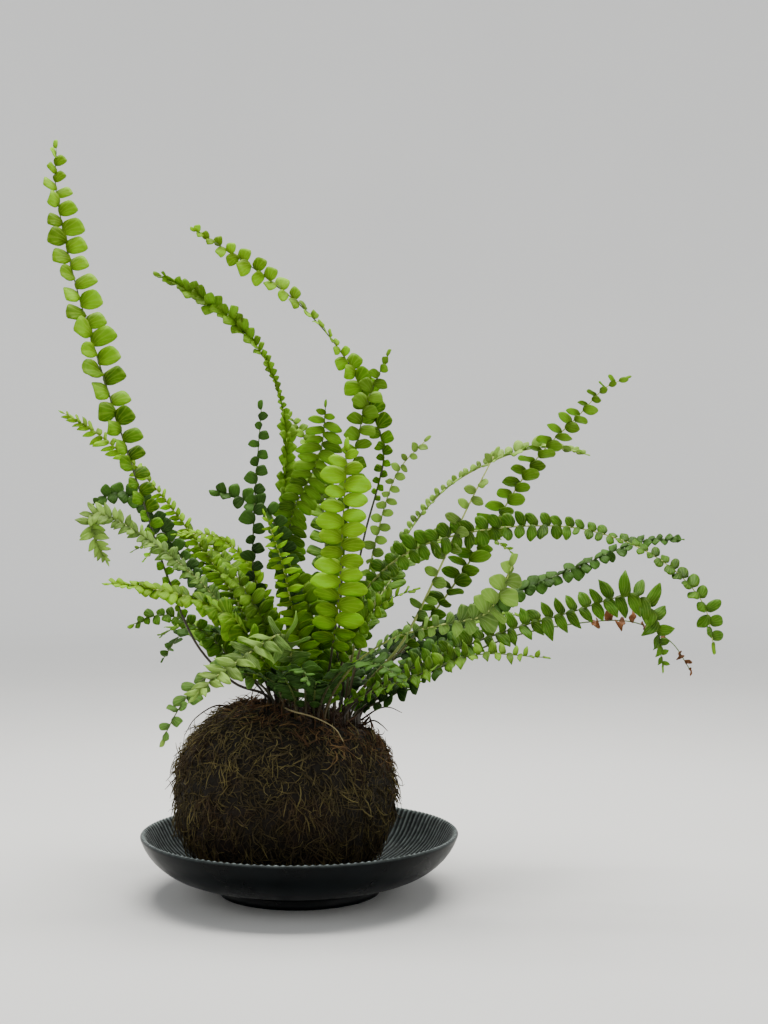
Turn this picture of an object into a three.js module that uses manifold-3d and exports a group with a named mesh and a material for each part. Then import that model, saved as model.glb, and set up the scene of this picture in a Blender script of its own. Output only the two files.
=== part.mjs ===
// A kokedama: a ball of soil wrapped in moss, planted with a button fern, in a ribbed dish.
// Units are millimetres and +Z is up. The origin is the middle of the dish's foot, on the table.
import * as THREE from 'three';
import { mergeVertices } from 'three/addons/utils/BufferGeometryUtils.js';
import Module from 'manifold-3d';

const wasm = await Module();
wasm.setup();

// Driving dimensions
const TOUCH_GAP = 0.3;
const DISH = { radius: 77.5, height: 29.4, footRadius: 39.5, floor: 6.3, ribs: 32, ribRise: 1.2 };
const BALL = { x: -7, z: 49, radius: 54.5, halfHeight: 47, squareness: 2.3 };
const BALL_FLAT = DISH.floor + TOUCH_GAP;
const MOSS = { thickness: 6, lump: 1.2, seed: 7, columns: 30, rows: 13 };
const CORE = { columns: 20, rows: 8 };
const CROWN = { x: 6, radius: 27, lipRadius: 31, mouthFloor: 66, moundRise: 9, moundFoot: 75 };
const STEM = { foot: 70, width: 1.8, thickness: 1.1, clearOfSoil: 6, tipWidth: 1.2, step: 28 };
const BLADE_THICKNESS = 0.7;
const LEAFLET = { root: 2.4, rise: 0.12, sweep: 0.12, clearance: 3.3, smallest: 0.72 };
const TIP_LEAFLET_SCALE = 0.7;
const BALL_KEEP_OUT = 2.2;
const CURVE_STEPS = 14;
const WELD = 1e-3;

const TONES = {
  bright: 0x8fae52,
  mid: 0x6d9048,
  deep: 0x3f5a30,
  pale: 0xa9b97c,
  dry: 0x7a5a38,
};

// The fronds. Each grows from root [x, y] through the points listed, out to its tip. Its upper
// face turns from facing[0] at the stem's foot to facing[1] at the tip. It carries the number of
// leaflet pairs given, of a length and width, above the bare share of its stem.
const FRONDS = [
  { name: 'frond_tall_left', tone: 'bright', root: [-15, -6],
    through: [[-32, -7, 103], [-50, -8, 122], [-64, -9, 155], [-76, -8, 192], [-92, -4, 240],
      [-110, 2, 296], [-121, 8, 343], [-122, 12, 367]],
    facing: [[0.25, -0.95, 0.2], [0.1, -0.95, 0.1]], pairs: 14, leaflet: [9.5, 9], bare: 0.24 },
  { name: 'frond_arch_left', tone: 'mid', root: [-2, 18],
    through: [[-6, 24, 121], [-9, 30, 161], [-10, 34, 192], [-9, 38, 222], [-13, 41, 247],
      [-23, 43, 269], [-43, 45, 290], [-75, 48, 309]],
    facing: [[0.95, -0.3, 0], [-0.2, -0.7, 0.7]], pairs: 10, leaflet: [8.5, 8], bare: 0.36 },
  { name: 'frond_arch_mid', tone: 'bright', root: [20, 12],
    through: [[25, 15, 137], [31, 16, 172], [38, 16, 198], [41, 13, 214], [37, 10, 231],
      [23, 4, 260], [4, -4, 283], [-21, -10, 303], [-49, -16, 321]],
    facing: [[-0.8, -0.5, 0.2], [0.2, -0.9, 0.5]], pairs: 12, leaflet: [8, 8], bare: 0.38 },
  { name: 'frond_sprig_mid', tone: 'mid', root: [17, 3],
    through: [[19, 4, 128], [22, 5, 172], [27, 3, 214], [33, 1, 240], [43, -2, 262]],
    facing: [[0, -1, 0.1], [0, -0.95, 0.2]], pairs: 5, leaflet: [8.5, 8], bare: 0.5 },
  { name: 'frond_slim_left', tone: 'deep', root: [-8, 1],
    through: [[-19, 0, 119], [-23, 0, 157], [-22, 0, 194], [-19, 0, 236]],
    facing: [[0.2, -0.95, 0], [0.2, -0.95, 0]], pairs: 5, leaflet: [6.5, 6.5], bare: 0.4 },
  { name: 'frond_bright_front', tone: 'bright', root: [12, -17],
    through: [[16, -27, 116], [20, -36, 145], [22, -42, 178], [24, -46, 214]],
    facing: [[0, -0.95, 0.4], [0, -1, 0.1]], pairs: 7, leaflet: [9.5, 7.5], bare: 0.3 },
  { name: 'frond_upright_mid', tone: 'mid', root: [4, 14],
    through: [[1, 18, 127], [-7, 20, 158], [-5, 20, 184], [4, 19, 203], [10, 17, 219],
      [12, 14, 238]],
    facing: [[0.1, -0.9, 0.3], [0.1, -0.9, 0.4]], pairs: 6, leaflet: [7.5, 6.5], bare: 0.45 },
  { name: 'frond_slim_right', tone: 'pale', root: [22, -1],
    through: [[27, 0, 123], [34, 0, 158], [42, -2, 190], [49, -4, 207], [61, -6, 220]],
    facing: [[0.3, -0.9, 0.2], [0.2, -0.8, 0.5]], pairs: 5, leaflet: [6, 6], bare: 0.45 },
  { name: 'frond_pale_arch_right', tone: 'pale', root: [23, 7],
    through: [[33, 18, 129], [48, 26, 166], [71, 32, 196], [100, 37, 213], [124, 39, 219],
      [144, 39, 216]],
    facing: [[-0.8, -0.5, 0.4], [-0.1, -0.3, 0.95]], pairs: 7, leaflet: [7.5, 7], bare: 0.36 },
  { name: 'frond_bare_right', tone: 'pale', root: [23, -8],
    through: [[34, -11, 104], [50, -15, 123], [66, -20, 155], [80, -24, 186], [93, -28, 212]],
    facing: [[-0.4, -0.8, 0.4], [-0.4, -0.9, 0.3]], pairs: 5, leaflet: [6.5, 6], bare: 0.55 },
  { name: 'frond_upper_right', tone: 'mid', root: [27, 3],
    through: [[41, 6, 107], [66, 8, 136], [91, 9, 172], [116, 8, 211], [137, 5, 233],
      [149, 2, 246], [159, 0, 251]],
    facing: [[-0.4, -0.7, 0.6], [-0.4, -0.85, 0.35]], pairs: 10, leaflet: [9.5, 7], bare: 0.26 },
  { name: 'frond_big_arch_right', tone: 'mid', root: [17, -8],
    through: [[22, -10, 117], [32, -14, 147], [54, -20, 167], [87, -26, 177], [124, -31, 179],
      [151, -36, 173], [173, -41, 161], [188, -46, 144], [192, -50, 126]],
    facing: [[-0.8, -0.5, 0.3], [0.5, -0.75, 0.3]], pairs: 12, leaflet: [9.5, 8.5], bare: 0.28 },
  { name: 'frond_dark_right', tone: 'deep', root: [24, 12],
    through: [[42, 20, 108], [70, 25, 127], [105, 28, 143], [140, 28, 158], [169, 24, 170],
      [189, 20, 172]],
    facing: [[-0.3, -0.3, 0.9], [-0.2, -0.2, 0.95]], pairs: 7, leaflet: [8, 8], bare: 0.35 },
  { name: 'frond_feather_right', tone: 'mid', root: [22, -14],
    through: [[37, -21, 102], [63, -34, 116], [95, -46, 130], [126, -55, 140], [152, -62, 148],
      [162, -66, 139], [166, -66, 117]],
    facing: [[-0.2, -0.5, 0.85], [0.6, -0.8, 0.1]], pairs: 10, leaflet: [10, 9], bare: 0.24 },
  { name: 'frond_dry_tip', tone: 'dry', root: [28, -3],
    through: [[44, -5, 98], [70, -8, 111], [102, -10, 125], [134, -13, 132], [160, -16, 133],
      [178, -18, 124], [187, -20, 111]],
    facing: [[-0.2, -0.4, 0.9], [0.6, -0.7, 0.3]], pairs: 6, leaflet: [7, 6.5], bare: 0.5 },
  { name: 'frond_short_right', tone: 'mid', root: [17, -20],
    through: [[34, -31, 100], [56, -44, 110], [83, -58, 121], [112, -70, 121]],
    facing: [[-0.2, -0.5, 0.85], [0, -0.7, 0.7]], pairs: 5, leaflet: [8, 7], bare: 0.3 },
  { name: 'frond_low_right', tone: 'deep', root: [27, -8],
    through: [[43, -13, 96], [57, -18, 105], [70, -22, 113], [83, -25, 119]],
    facing: [[-0.2, -0.5, 0.85], [0.1, -0.7, 0.7]], pairs: 4, leaflet: [7.5, 7], bare: 0.3 },
  { name: 'frond_low_mid_right', tone: 'deep', plain: true, root: [28, 8],
    through: [[43, 9, 101], [58, 11, 112], [74, 12, 121], [91, 12, 127]],
    facing: [[-0.3, -0.5, 0.8], [-0.1, -0.5, 0.85]], pairs: 4, leaflet: [7.5, 7], bare: 0.35 },
  { name: 'frond_toward_right', tone: 'pale', root: [13, -23],
    through: [[25, -38, 112], [44, -60, 128], [66, -80, 136], [83, -95, 141], [90, -104, 150],
      [95, -110, 163]],
    facing: [[-0.4, 0.4, 0.8], [-0.3, -0.9, 0.3]], pairs: 6, leaflet: [10, 9.5], bare: 0.4 },
  { name: 'frond_pale_front_left', tone: 'pale', root: [-1, -22],
    through: [[-2, -36, 118], [-6, -46, 129], [-15, -53, 125], [-25, -59, 118], [-34, -64, 112],
      [-42, -69, 105]],
    facing: [[0.2, 0.5, 0.6], [-0.4, -0.7, 0.5]], pairs: 6, leaflet: [10, 8], bare: 0.25 },
  { name: 'frond_low_left', tone: 'pale', root: [-12, -13],
    through: [[-25, -18, 108], [-38, -25, 110], [-48, -32, 103], [-55, -38, 93], [-61, -42, 81]],
    facing: [[0.1, -0.5, 0.85], [-0.5, -0.8, 0.3]], pairs: 6, leaflet: [9, 8], bare: 0.25 },
  { name: 'frond_bright_left', tone: 'bright', root: [-7, -18],
    through: [[-19, -26, 120], [-31, -34, 136], [-47, -41, 145], [-64, -47, 150],
      [-84, -52, 153]],
    facing: [[0.5, -0.5, 0.5], [0, -0.6, 0.8]], pairs: 6, leaflet: [8, 7.5], bare: 0.3 },
  { name: 'frond_pale_left', tone: 'pale', root: [-9, -8],
    through: [[-22, -12, 121], [-36, -16, 140], [-53, -20, 158], [-73, -25, 174],
      [-88, -29, 183], [-96, -32, 184], [-95, -34, 175], [-89, -35, 163]],
    facing: [[0.4, -0.6, 0.6], [-0.5, -0.8, 0.2]], pairs: 7, leaflet: [7, 6.5], bare: 0.35 },
  { name: 'frond_straight_left', tone: 'bright', root: [-10, 12],
    through: [[-21, 20, 117], [-35, 27, 143], [-55, 33, 171], [-80, 38, 202], [-103, 42, 223],
      [-125, 46, 237]],
    facing: [[0.5, -0.7, 0.4], [0.3, -0.8, 0.5]], pairs: 8, leaflet: [7.5, 6.5], bare: 0.3 },
  { name: 'frond_yellow_left', tone: 'bright', root: [-2, 4],
    through: [[-12, 5, 126], [-22, 5, 152], [-31, 4, 166], [-43, 2, 174], [-60, 0, 175]],
    facing: [[0.7, -0.6, 0.3], [0.1, -0.6, 0.8]], pairs: 5, leaflet: [7.5, 7], bare: 0.4 },
  { name: 'frond_dark_left', tone: 'deep', plain: true, root: [-15, 6],
    through: [[-29, 10, 120], [-49, 14, 147], [-68, 16, 174], [-80, 15, 191], [-92, 13, 195],
      [-103, 10, 190]],
    facing: [[0.4, -0.6, 0.6], [-0.2, -0.6, 0.8]], pairs: 6, leaflet: [6.5, 6], bare: 0.4 },
  { name: 'frond_low_dark_left', tone: 'mid', plain: true, root: [-17, 0],
    through: [[-30, 1, 109], [-44, 2, 124], [-58, 1, 133], [-70, -1, 135], [-81, -4, 131]],
    facing: [[0.2, -0.5, 0.85], [-0.1, -0.6, 0.8]], pairs: 5, leaflet: [6.5, 6], bare: 0.3 },
  { name: 'frond_curl_left', tone: 'mid', plain: true, root: [-9, 18],
    through: [[-22, 28, 119], [-40, 34, 146], [-58, 37, 166], [-74, 36, 171], [-87, 33, 166]],
    facing: [[0.3, -0.6, 0.7], [-0.1, -0.6, 0.8]], pairs: 5, leaflet: [6.5, 6], bare: 0.4 },
  { name: 'frond_dark_mid', tone: 'deep', plain: true, root: [4, 8],
    through: [[0, 10, 130], [-7, 10, 160], [-15, 9, 184], [-26, 7, 191], [-39, 4, 195]],
    facing: [[0.4, -0.8, 0.2], [0.1, -0.8, 0.5]], pairs: 4, leaflet: [7, 7], bare: 0.5 },
  { name: 'frond_yellow_mid', tone: 'bright', root: [4, -12],
    through: [[2, -15, 117], [-3, -19, 141], [-8, -23, 164], [-15, -25, 184]],
    facing: [[0.2, -0.95, 0.2], [0.2, -0.9, 0.3]], pairs: 5, leaflet: [7.5, 6.5], bare: 0.3 },
  { name: 'frond_middle_left', tone: 'mid', plain: true, root: [-6, -3],
    through: [[-13, -4, 118], [-20, -8, 138], [-30, -12, 152], [-42, -14, 158]],
    facing: [[0.3, -0.8, 0.4], [0, -0.7, 0.7]], pairs: 4, leaflet: [8, 7.5], bare: 0.35 },
  { name: 'frond_middle', tone: 'mid', plain: true, root: [10, 0],
    through: [[9, -1, 118], [5, -4, 138], [0, -8, 152], [-4, -12, 160]],
    facing: [[0, -0.95, 0.2], [0, -0.9, 0.4]], pairs: 4, leaflet: [8.5, 8], bare: 0.35 },
  { name: 'frond_middle_right', tone: 'mid', plain: true, root: [11, -9],
    through: [[18, -13, 112], [29, -18, 130], [42, -24, 143], [55, -30, 149]],
    facing: [[-0.2, -0.7, 0.6], [0, -0.6, 0.8]], pairs: 4, leaflet: [8.5, 8], bare: 0.35 },
  { name: 'frond_front_right', tone: 'deep', plain: true, root: [10, -24],
    through: [[17, -39, 107], [28, -54, 116], [40, -68, 117], [50, -80, 111]],
    facing: [[-0.3, 0.7, 0.6], [0.1, -0.7, 0.7]], pairs: 4, leaflet: [8.5, 8], bare: 0.3 },
  { name: 'frond_front_mid', tone: 'deep', root: [4, -23],
    through: [[4, -36, 107], [4, -48, 113], [5, -58, 114], [7, -67, 110]],
    facing: [[0, 0.6, 0.8], [0, -0.8, 0.5]], pairs: 4, leaflet: [8.5, 8], bare: 0.3 },
  { name: 'frond_back_tall', tone: 'mid', plain: true, root: [10, 20],
    through: [[11, 32, 121], [11, 46, 158], [8, 60, 193], [0, 74, 222], [-12, 86, 240]],
    facing: [[0.2, -0.95, 0.4], [0.1, -0.7, 0.7]], pairs: 6, leaflet: [9, 8.5], bare: 0.3 },
  { name: 'frond_back_left', tone: 'bright', plain: true, root: [-6, 23],
    through: [[-17, 38, 118], [-34, 58, 148], [-54, 78, 168], [-76, 96, 172], [-92, 108, 160]],
    facing: [[0.4, -0.6, 0.6], [-0.3, 0.2, 0.95]], pairs: 6, leaflet: [9, 8.5], bare: 0.28 },
  { name: 'frond_back_right', tone: 'mid', plain: true, root: [16, 20],
    through: [[26, 36, 116], [43, 57, 147], [66, 79, 170], [91, 98, 176], [112, 112, 164]],
    facing: [[-0.4, -0.6, 0.6], [0.2, 0.2, 0.95]], pairs: 6, leaflet: [9, 8.5], bare: 0.28 },
  { name: 'frond_back_mid', tone: 'bright', plain: true, root: [4, 24],
    through: [[3, 43, 114], [0, 67, 137], [-4, 92, 148], [-10, 115, 142], [-14, 130, 124]],
    facing: [[0, -0.7, 0.7], [-0.1, 0.5, 0.8]], pairs: 6, leaflet: [9, 8.5], bare: 0.28 },
  { name: 'frond_back_low_left', tone: 'deep', plain: true, root: [-13, 18],
    through: [[-29, 34, 107], [-49, 54, 120], [-67, 73, 120], [-79, 86, 106]],
    facing: [[0.5, -0.5, 0.7], [-0.4, 0.4, 0.8]], pairs: 5, leaflet: [8.5, 8], bare: 0.26 },
  { name: 'frond_back_low_right', tone: 'deep', plain: true, root: [22, 17],
    through: [[36, 34, 105], [54, 55, 119], [73, 74, 121], [87, 87, 109]],
    facing: [[-0.5, -0.5, 0.7], [0.4, 0.4, 0.8]], pairs: 5, leaflet: [8.5, 8], bare: 0.26 },
  { name: 'frond_back_low', tone: 'mid', plain: true, root: [10, 25],
    through: [[14, 41, 104], [21, 60, 111], [28, 78, 105], [33, 91, 90]],
    facing: [[-0.2, -0.7, 0.7], [0.1, 0.6, 0.7]], pairs: 5, leaflet: [8.5, 8], bare: 0.28 },
  { name: 'frond_side_left', tone: 'mid', plain: true, root: [-16, 12],
    through: [[-33, 21, 107], [-50, 36, 120], [-65, 52, 126], [-77, 66, 120]],
    facing: [[0.7, -0.3, 0.6], [-0.4, 0.1, 0.9]], pairs: 5, leaflet: [8, 7.5], bare: 0.28 },
  { name: 'frond_side_right', tone: 'mid', plain: true, root: [29, 12],
    through: [[49, 24, 106], [76, 38, 123], [104, 50, 132], [130, 58, 126]],
    facing: [[-0.7, -0.3, 0.6], [0.3, 0.1, 0.9]], pairs: 6, leaflet: [8, 7.5], bare: 0.28 },
];

const kokedama = new THREE.Group();

function add(name, geometry, material) {
  const mesh = new THREE.Mesh(geometry, material);
  mesh.name = name;
  kokedama.add(mesh);
}

// A closed mesh with its shared vertices merged and its collapsed faces dropped
function welded(geometry) {
  const bare = geometry.clone();
  bare.deleteAttribute('normal');
  bare.deleteAttribute('uv');
  const merged = mergeVertices(bare, WELD);
  const kept = [];
  for (let i = 0; i < merged.index.count; i += 3) {
    const [a, b, c] = [0, 1, 2].map((k) => merged.index.getX(i + k));
    if (a !== b && b !== c && c !== a) {
      kept.push(a, b, c);
    }
  }
  merged.setIndex(kept);
  return merged;
}

function toSolid(geometry) {
  const mesh = welded(geometry);
  return new wasm.Manifold(new wasm.Mesh({
    numProp: 3,
    vertProperties: new Float32Array(mesh.attributes.position.array),
    triVerts: new Uint32Array(mesh.index.array),
  }));
}

function toGeometry(solid) {
  const mesh = solid.getMesh();
  const geometry = new THREE.BufferGeometry();
  geometry.setAttribute('position', new THREE.BufferAttribute(new Float32Array(mesh.vertProperties), 3));
  geometry.setIndex([...mesh.triVerts]);
  geometry.computeVertexNormals();
  return geometry;
}

// The dish: a lathe profile from the foot out to the lip and back down to the floor, with
// every other column of the inner wall raised into a rib
function dishGeometry() {
  const outline = [
    [0, 0],
    [DISH.footRadius, 0],
    [DISH.footRadius - 1, 5.4],
    [58, 9],
    [72, 18.5],
    [DISH.radius, DISH.height - 1],
    [DISH.radius - 1.5, DISH.height],
    [DISH.radius - 2.9, DISH.height - 1.2],
    [68.5, 17.2],
    [55, 9],
    [44, DISH.floor],
    [0, DISH.floor],
  ];
  const columns = DISH.ribs * 2;
  const geometry = new THREE.LatheGeometry(outline.map(([r, z]) => new THREE.Vector2(r, z)), columns);
  geometry.rotateX(Math.PI / 2);
  const place = geometry.attributes.position;
  const firstRibbed = 8;
  const lastRibbed = 9;
  const rise = DISH.ribRise * Math.SQRT1_2;
  for (let i = 0; i < place.count; i += 1) {
    const ring = i % outline.length;
    const column = Math.floor(i / outline.length);
    if (column % 2 === 0 && ring >= firstRibbed && ring <= lastRibbed) {
      const radius = Math.hypot(place.getX(i), place.getY(i));
      const shrink = (radius - rise) / radius;
      place.setXYZ(i, place.getX(i) * shrink, place.getY(i) * shrink, place.getZ(i) + rise);
    }
  }
  return geometry;
}

// A slightly squared ball about the moss ball's centre, flattened below
function ballGeometry(inset, lump, flat, { columns, rows }) {
  const { squareness } = BALL;
  const geometry = new THREE.SphereGeometry(1, columns, rows);
  geometry.rotateX(Math.PI / 2);
  const place = geometry.attributes.position;
  for (let i = 0; i < place.count; i += 1) {
    const way = new THREE.Vector3().fromBufferAttribute(place, i).normalize();
    const across = Math.hypot(way.x, way.y) / (BALL.radius - inset);
    const up = Math.abs(way.z) / (BALL.halfHeight - inset);
    const reach = (across ** squareness + up ** squareness) ** (-1 / squareness);
    const point = way.multiplyScalar(reach + lump * lumpiness(way));
    place.setXYZ(i, point.x + BALL.x, point.y, Math.max(point.z + BALL.z, flat));
  }
  return geometry;
}

// Uneven tufts of the moss, as a sum of waves over the ball
function lumpiness(way) {
  const { seed } = MOSS;
  return 0.5 * Math.sin(seed + way.x * 9 + way.z * 5)
    + 0.5 * Math.sin(seed * 2 + way.y * 11 - way.z * 7)
    + 0.4 * Math.sin(seed * 3 + way.x * 17 + way.y * 13 + way.z * 19);
}

// Height of the soil's surface under a point of the crown
function soilTop(x, y) {
  const { squareness } = BALL;
  const inset = MOSS.thickness + TOUCH_GAP;
  const share = Math.hypot(x - BALL.x, y) / (BALL.radius - inset);
  const ball = BALL.z + (BALL.halfHeight - inset) * (1 - share ** squareness) ** (1 / squareness);
  const fromCrown = Math.hypot(x - CROWN.x, y) / CROWN.radius;
  const mound = CROWN.moundFoot + CROWN.moundRise * Math.sqrt(Math.max(0, 1 - fromCrown ** 2));
  return Math.max(ball, mound);
}

// The open mouth at the top of the moss, a little wider at its lip
function crownMouth() {
  const top = BALL.z + BALL.halfHeight + MOSS.thickness;
  const height = top - CROWN.mouthFloor;
  const mouth = new THREE.CylinderGeometry(CROWN.lipRadius, CROWN.radius, height, CORE.columns);
  mouth.rotateX(Math.PI / 2);
  mouth.translate(CROWN.x, 0, CROWN.mouthFloor + height / 2);
  return mouth;
}

function soilSolid() {
  const ball = toSolid(ballGeometry(MOSS.thickness + TOUCH_GAP, 0, BALL_FLAT + MOSS.thickness, CORE));
  const mound = new THREE.SphereGeometry(1, CORE.columns, CORE.rows);
  mound.rotateX(Math.PI / 2);
  mound.scale(CROWN.radius - TOUCH_GAP, CROWN.radius - TOUCH_GAP, CROWN.moundRise);
  mound.translate(CROWN.x, 0, CROWN.moundFoot);
  return ball.add(toSolid(mound));
}

function mossSolid() {
  const outside = toSolid(ballGeometry(0, MOSS.lump, BALL_FLAT, MOSS));
  const inside = toSolid(ballGeometry(MOSS.thickness, 0, BALL_FLAT + MOSS.thickness - TOUCH_GAP, CORE));
  return outside.subtract(inside).subtract(toSolid(crownMouth()));
}

// The frond's rib as a fine polyline: straight up out of the soil, then one smooth curve
function ribLine(frond) {
  const [x, y] = frond.root;
  const exit = new THREE.Vector3(x, y, soilTop(x, y) + STEM.clearOfSoil);
  const points = frond.through.map((p) => new THREE.Vector3(...p));
  const below = exit.clone();
  below.z -= exit.distanceTo(points[0]);
  const curve = new THREE.CatmullRomCurve3([below, exit, ...points], false, 'catmullrom', 0.5);
  const start = 1 / (points.length + 1);
  const samples = points.length * CURVE_STEPS;
  const line = [new THREE.Vector3(x, y, STEM.foot + TOUCH_GAP)];
  for (let i = 0; i <= samples; i += 1) {
    line.push(curve.getPoint(start + (1 - start) * i / samples));
  }
  const lengths = [0];
  for (let i = 1; i < line.length; i += 1) {
    lengths.push(lengths[i - 1] + line[i].distanceTo(line[i - 1]));
  }
  return { line, lengths, stemEnd: lengths[1], total: lengths[lengths.length - 1] };
}

// Place and directions on the rib at a length along it: along, face (up) and side
function frameAt(rib, frond, length) {
  const { line, lengths, total } = rib;
  let i = lengths.findIndex((l) => l >= length);
  i = Math.min(Math.max(i, 1), line.length - 1);
  const share = (length - lengths[i - 1]) / (lengths[i] - lengths[i - 1]);
  const place = line[i - 1].clone().lerp(line[i], share);
  const before = line[Math.max(i - 2, 0)];
  const after = line[Math.min(i + 1, line.length - 1)];
  const along = i === 1 ? new THREE.Vector3(0, 0, 1) : after.clone().sub(before).normalize();
  const turn = length / total;
  const face = new THREE.Vector3(...frond.facing[0]).lerp(new THREE.Vector3(...frond.facing[1]), turn);
  face.addScaledVector(along, -face.dot(along)).normalize();
  const side = new THREE.Vector3().crossVectors(along, face);
  return { place, along, face, side };
}

// A leaflet's outline beside the rib: [outwards, along] in shares of its length and width. The
// fronds inside and behind have the plainer one.
const ROUND_OUTLINE = [[0.42, -0.5], [0.94, -0.24], [0.97, 0.22], [0.46, 0.5]];
const PLAIN_OUTLINE = [[0.6, -0.5], [1.04, 0], [0.64, 0.5]];

function leafletPoints(frame, hand, size, plain) {
  const [length, width] = size;
  return (plain ? PLAIN_OUTLINE : ROUND_OUTLINE).map(([out, on]) => frame.place.clone()
    .addScaledVector(frame.side, hand * out * length)
    .addScaledVector(frame.along, on * width + LEAFLET.sweep * out * length)
    .addScaledVector(frame.face, LEAFLET.rise * out * length));
}

function tipPoints(frame, size) {
  const [length, width] = size.map((v) => v * TIP_LEAFLET_SCALE);
  const outline = [[0.38, 0.42], [0.24, 0.95], [-0.24, 0.95], [-0.38, 0.42]];
  return outline.map(([across, on]) => frame.place.clone()
    .addScaledVector(frame.side, across * width)
    .addScaledVector(frame.along, on * length));
}

// Where the pairs of leaflets sit, and how big each is: smaller at both ends of the blade
function leafletPlaces(frond, rib) {
  const from = rib.stemEnd + (rib.total - rib.stemEnd) * frond.bare;
  const to = rib.total - frond.leaflet[1] * 0.6;
  const places = [];
  for (let k = 0; k < frond.pairs; k += 1) {
    const share = k / (frond.pairs - 1);
    const swell = Math.sin(Math.PI * (0.2 + share * 0.68));
    const scale = LEAFLET.smallest + (1 - LEAFLET.smallest) * swell;
    places.push({ at: from + (to - from) * share, scale });
  }
  return places;
}

function insideBall(point) {
  const across = Math.hypot(point.x - BALL.x, point.y) / (BALL.radius + BALL_KEEP_OUT);
  const up = Math.abs(point.z - BALL.z) / (BALL.halfHeight + BALL_KEEP_OUT);
  return across ** BALL.squareness + up ** BALL.squareness < 1;
}

// Points spread over a leaflet, by which it is kept clear of every other frond
function spread(frame, points) {
  const middle = points.reduce((sum, p) => sum.add(p), new THREE.Vector3()).divideScalar(points.length);
  const all = [...points, middle, middle.clone().lerp(frame.place, 0.5)];
  points.forEach((p, i) => {
    all.push(p.clone().lerp(points[(i + 1) % points.length], 0.5));
    all.push(p.clone().lerp(frame.place, 0.5));
  });
  return all;
}

function clearOf(points, others, distance) {
  return points.every((p) => others.every((q) => p.distanceToSquared(q) > distance * distance));
}

// Every leaflet that would touch another frond, or the moss, is left out, and the fronds that
// come first in the list keep theirs
function chooseLeaflets(plants) {
  const ribPoints = plants.map(({ rib }) => rib.line);
  const taken = plants.map(() => []);
  plants.forEach((plant, own) => {
    const { frond, rib } = plant;
    plant.leaflets = [];
    for (const { at, scale } of leafletPlaces(frond, rib)) {
      const frame = frameAt(rib, frond, at);
      const size = frond.leaflet.map((v) => v * scale);
      const pair = { at, size, hands: [] };
      for (const hand of [-1, 1]) {
        const points = spread(frame, leafletPoints(frame, hand, size, frond.plain));
        const clear = !points.some(insideBall) && plants.every((other, i) => i === own
          || (clearOf(points, ribPoints[i], LEAFLET.clearance)
            && clearOf(points, taken[i], LEAFLET.clearance)));
        if (clear) {
          pair.hands.push(hand);
          taken[own].push(...points);
        }
      }
      if (pair.hands.length > 0) {
        plant.leaflets.push(pair);
      }
    }
    taken[own].push(...tipPoints(frameAt(rib, frond, rib.total), frond.leaflet));
  });
}

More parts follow.
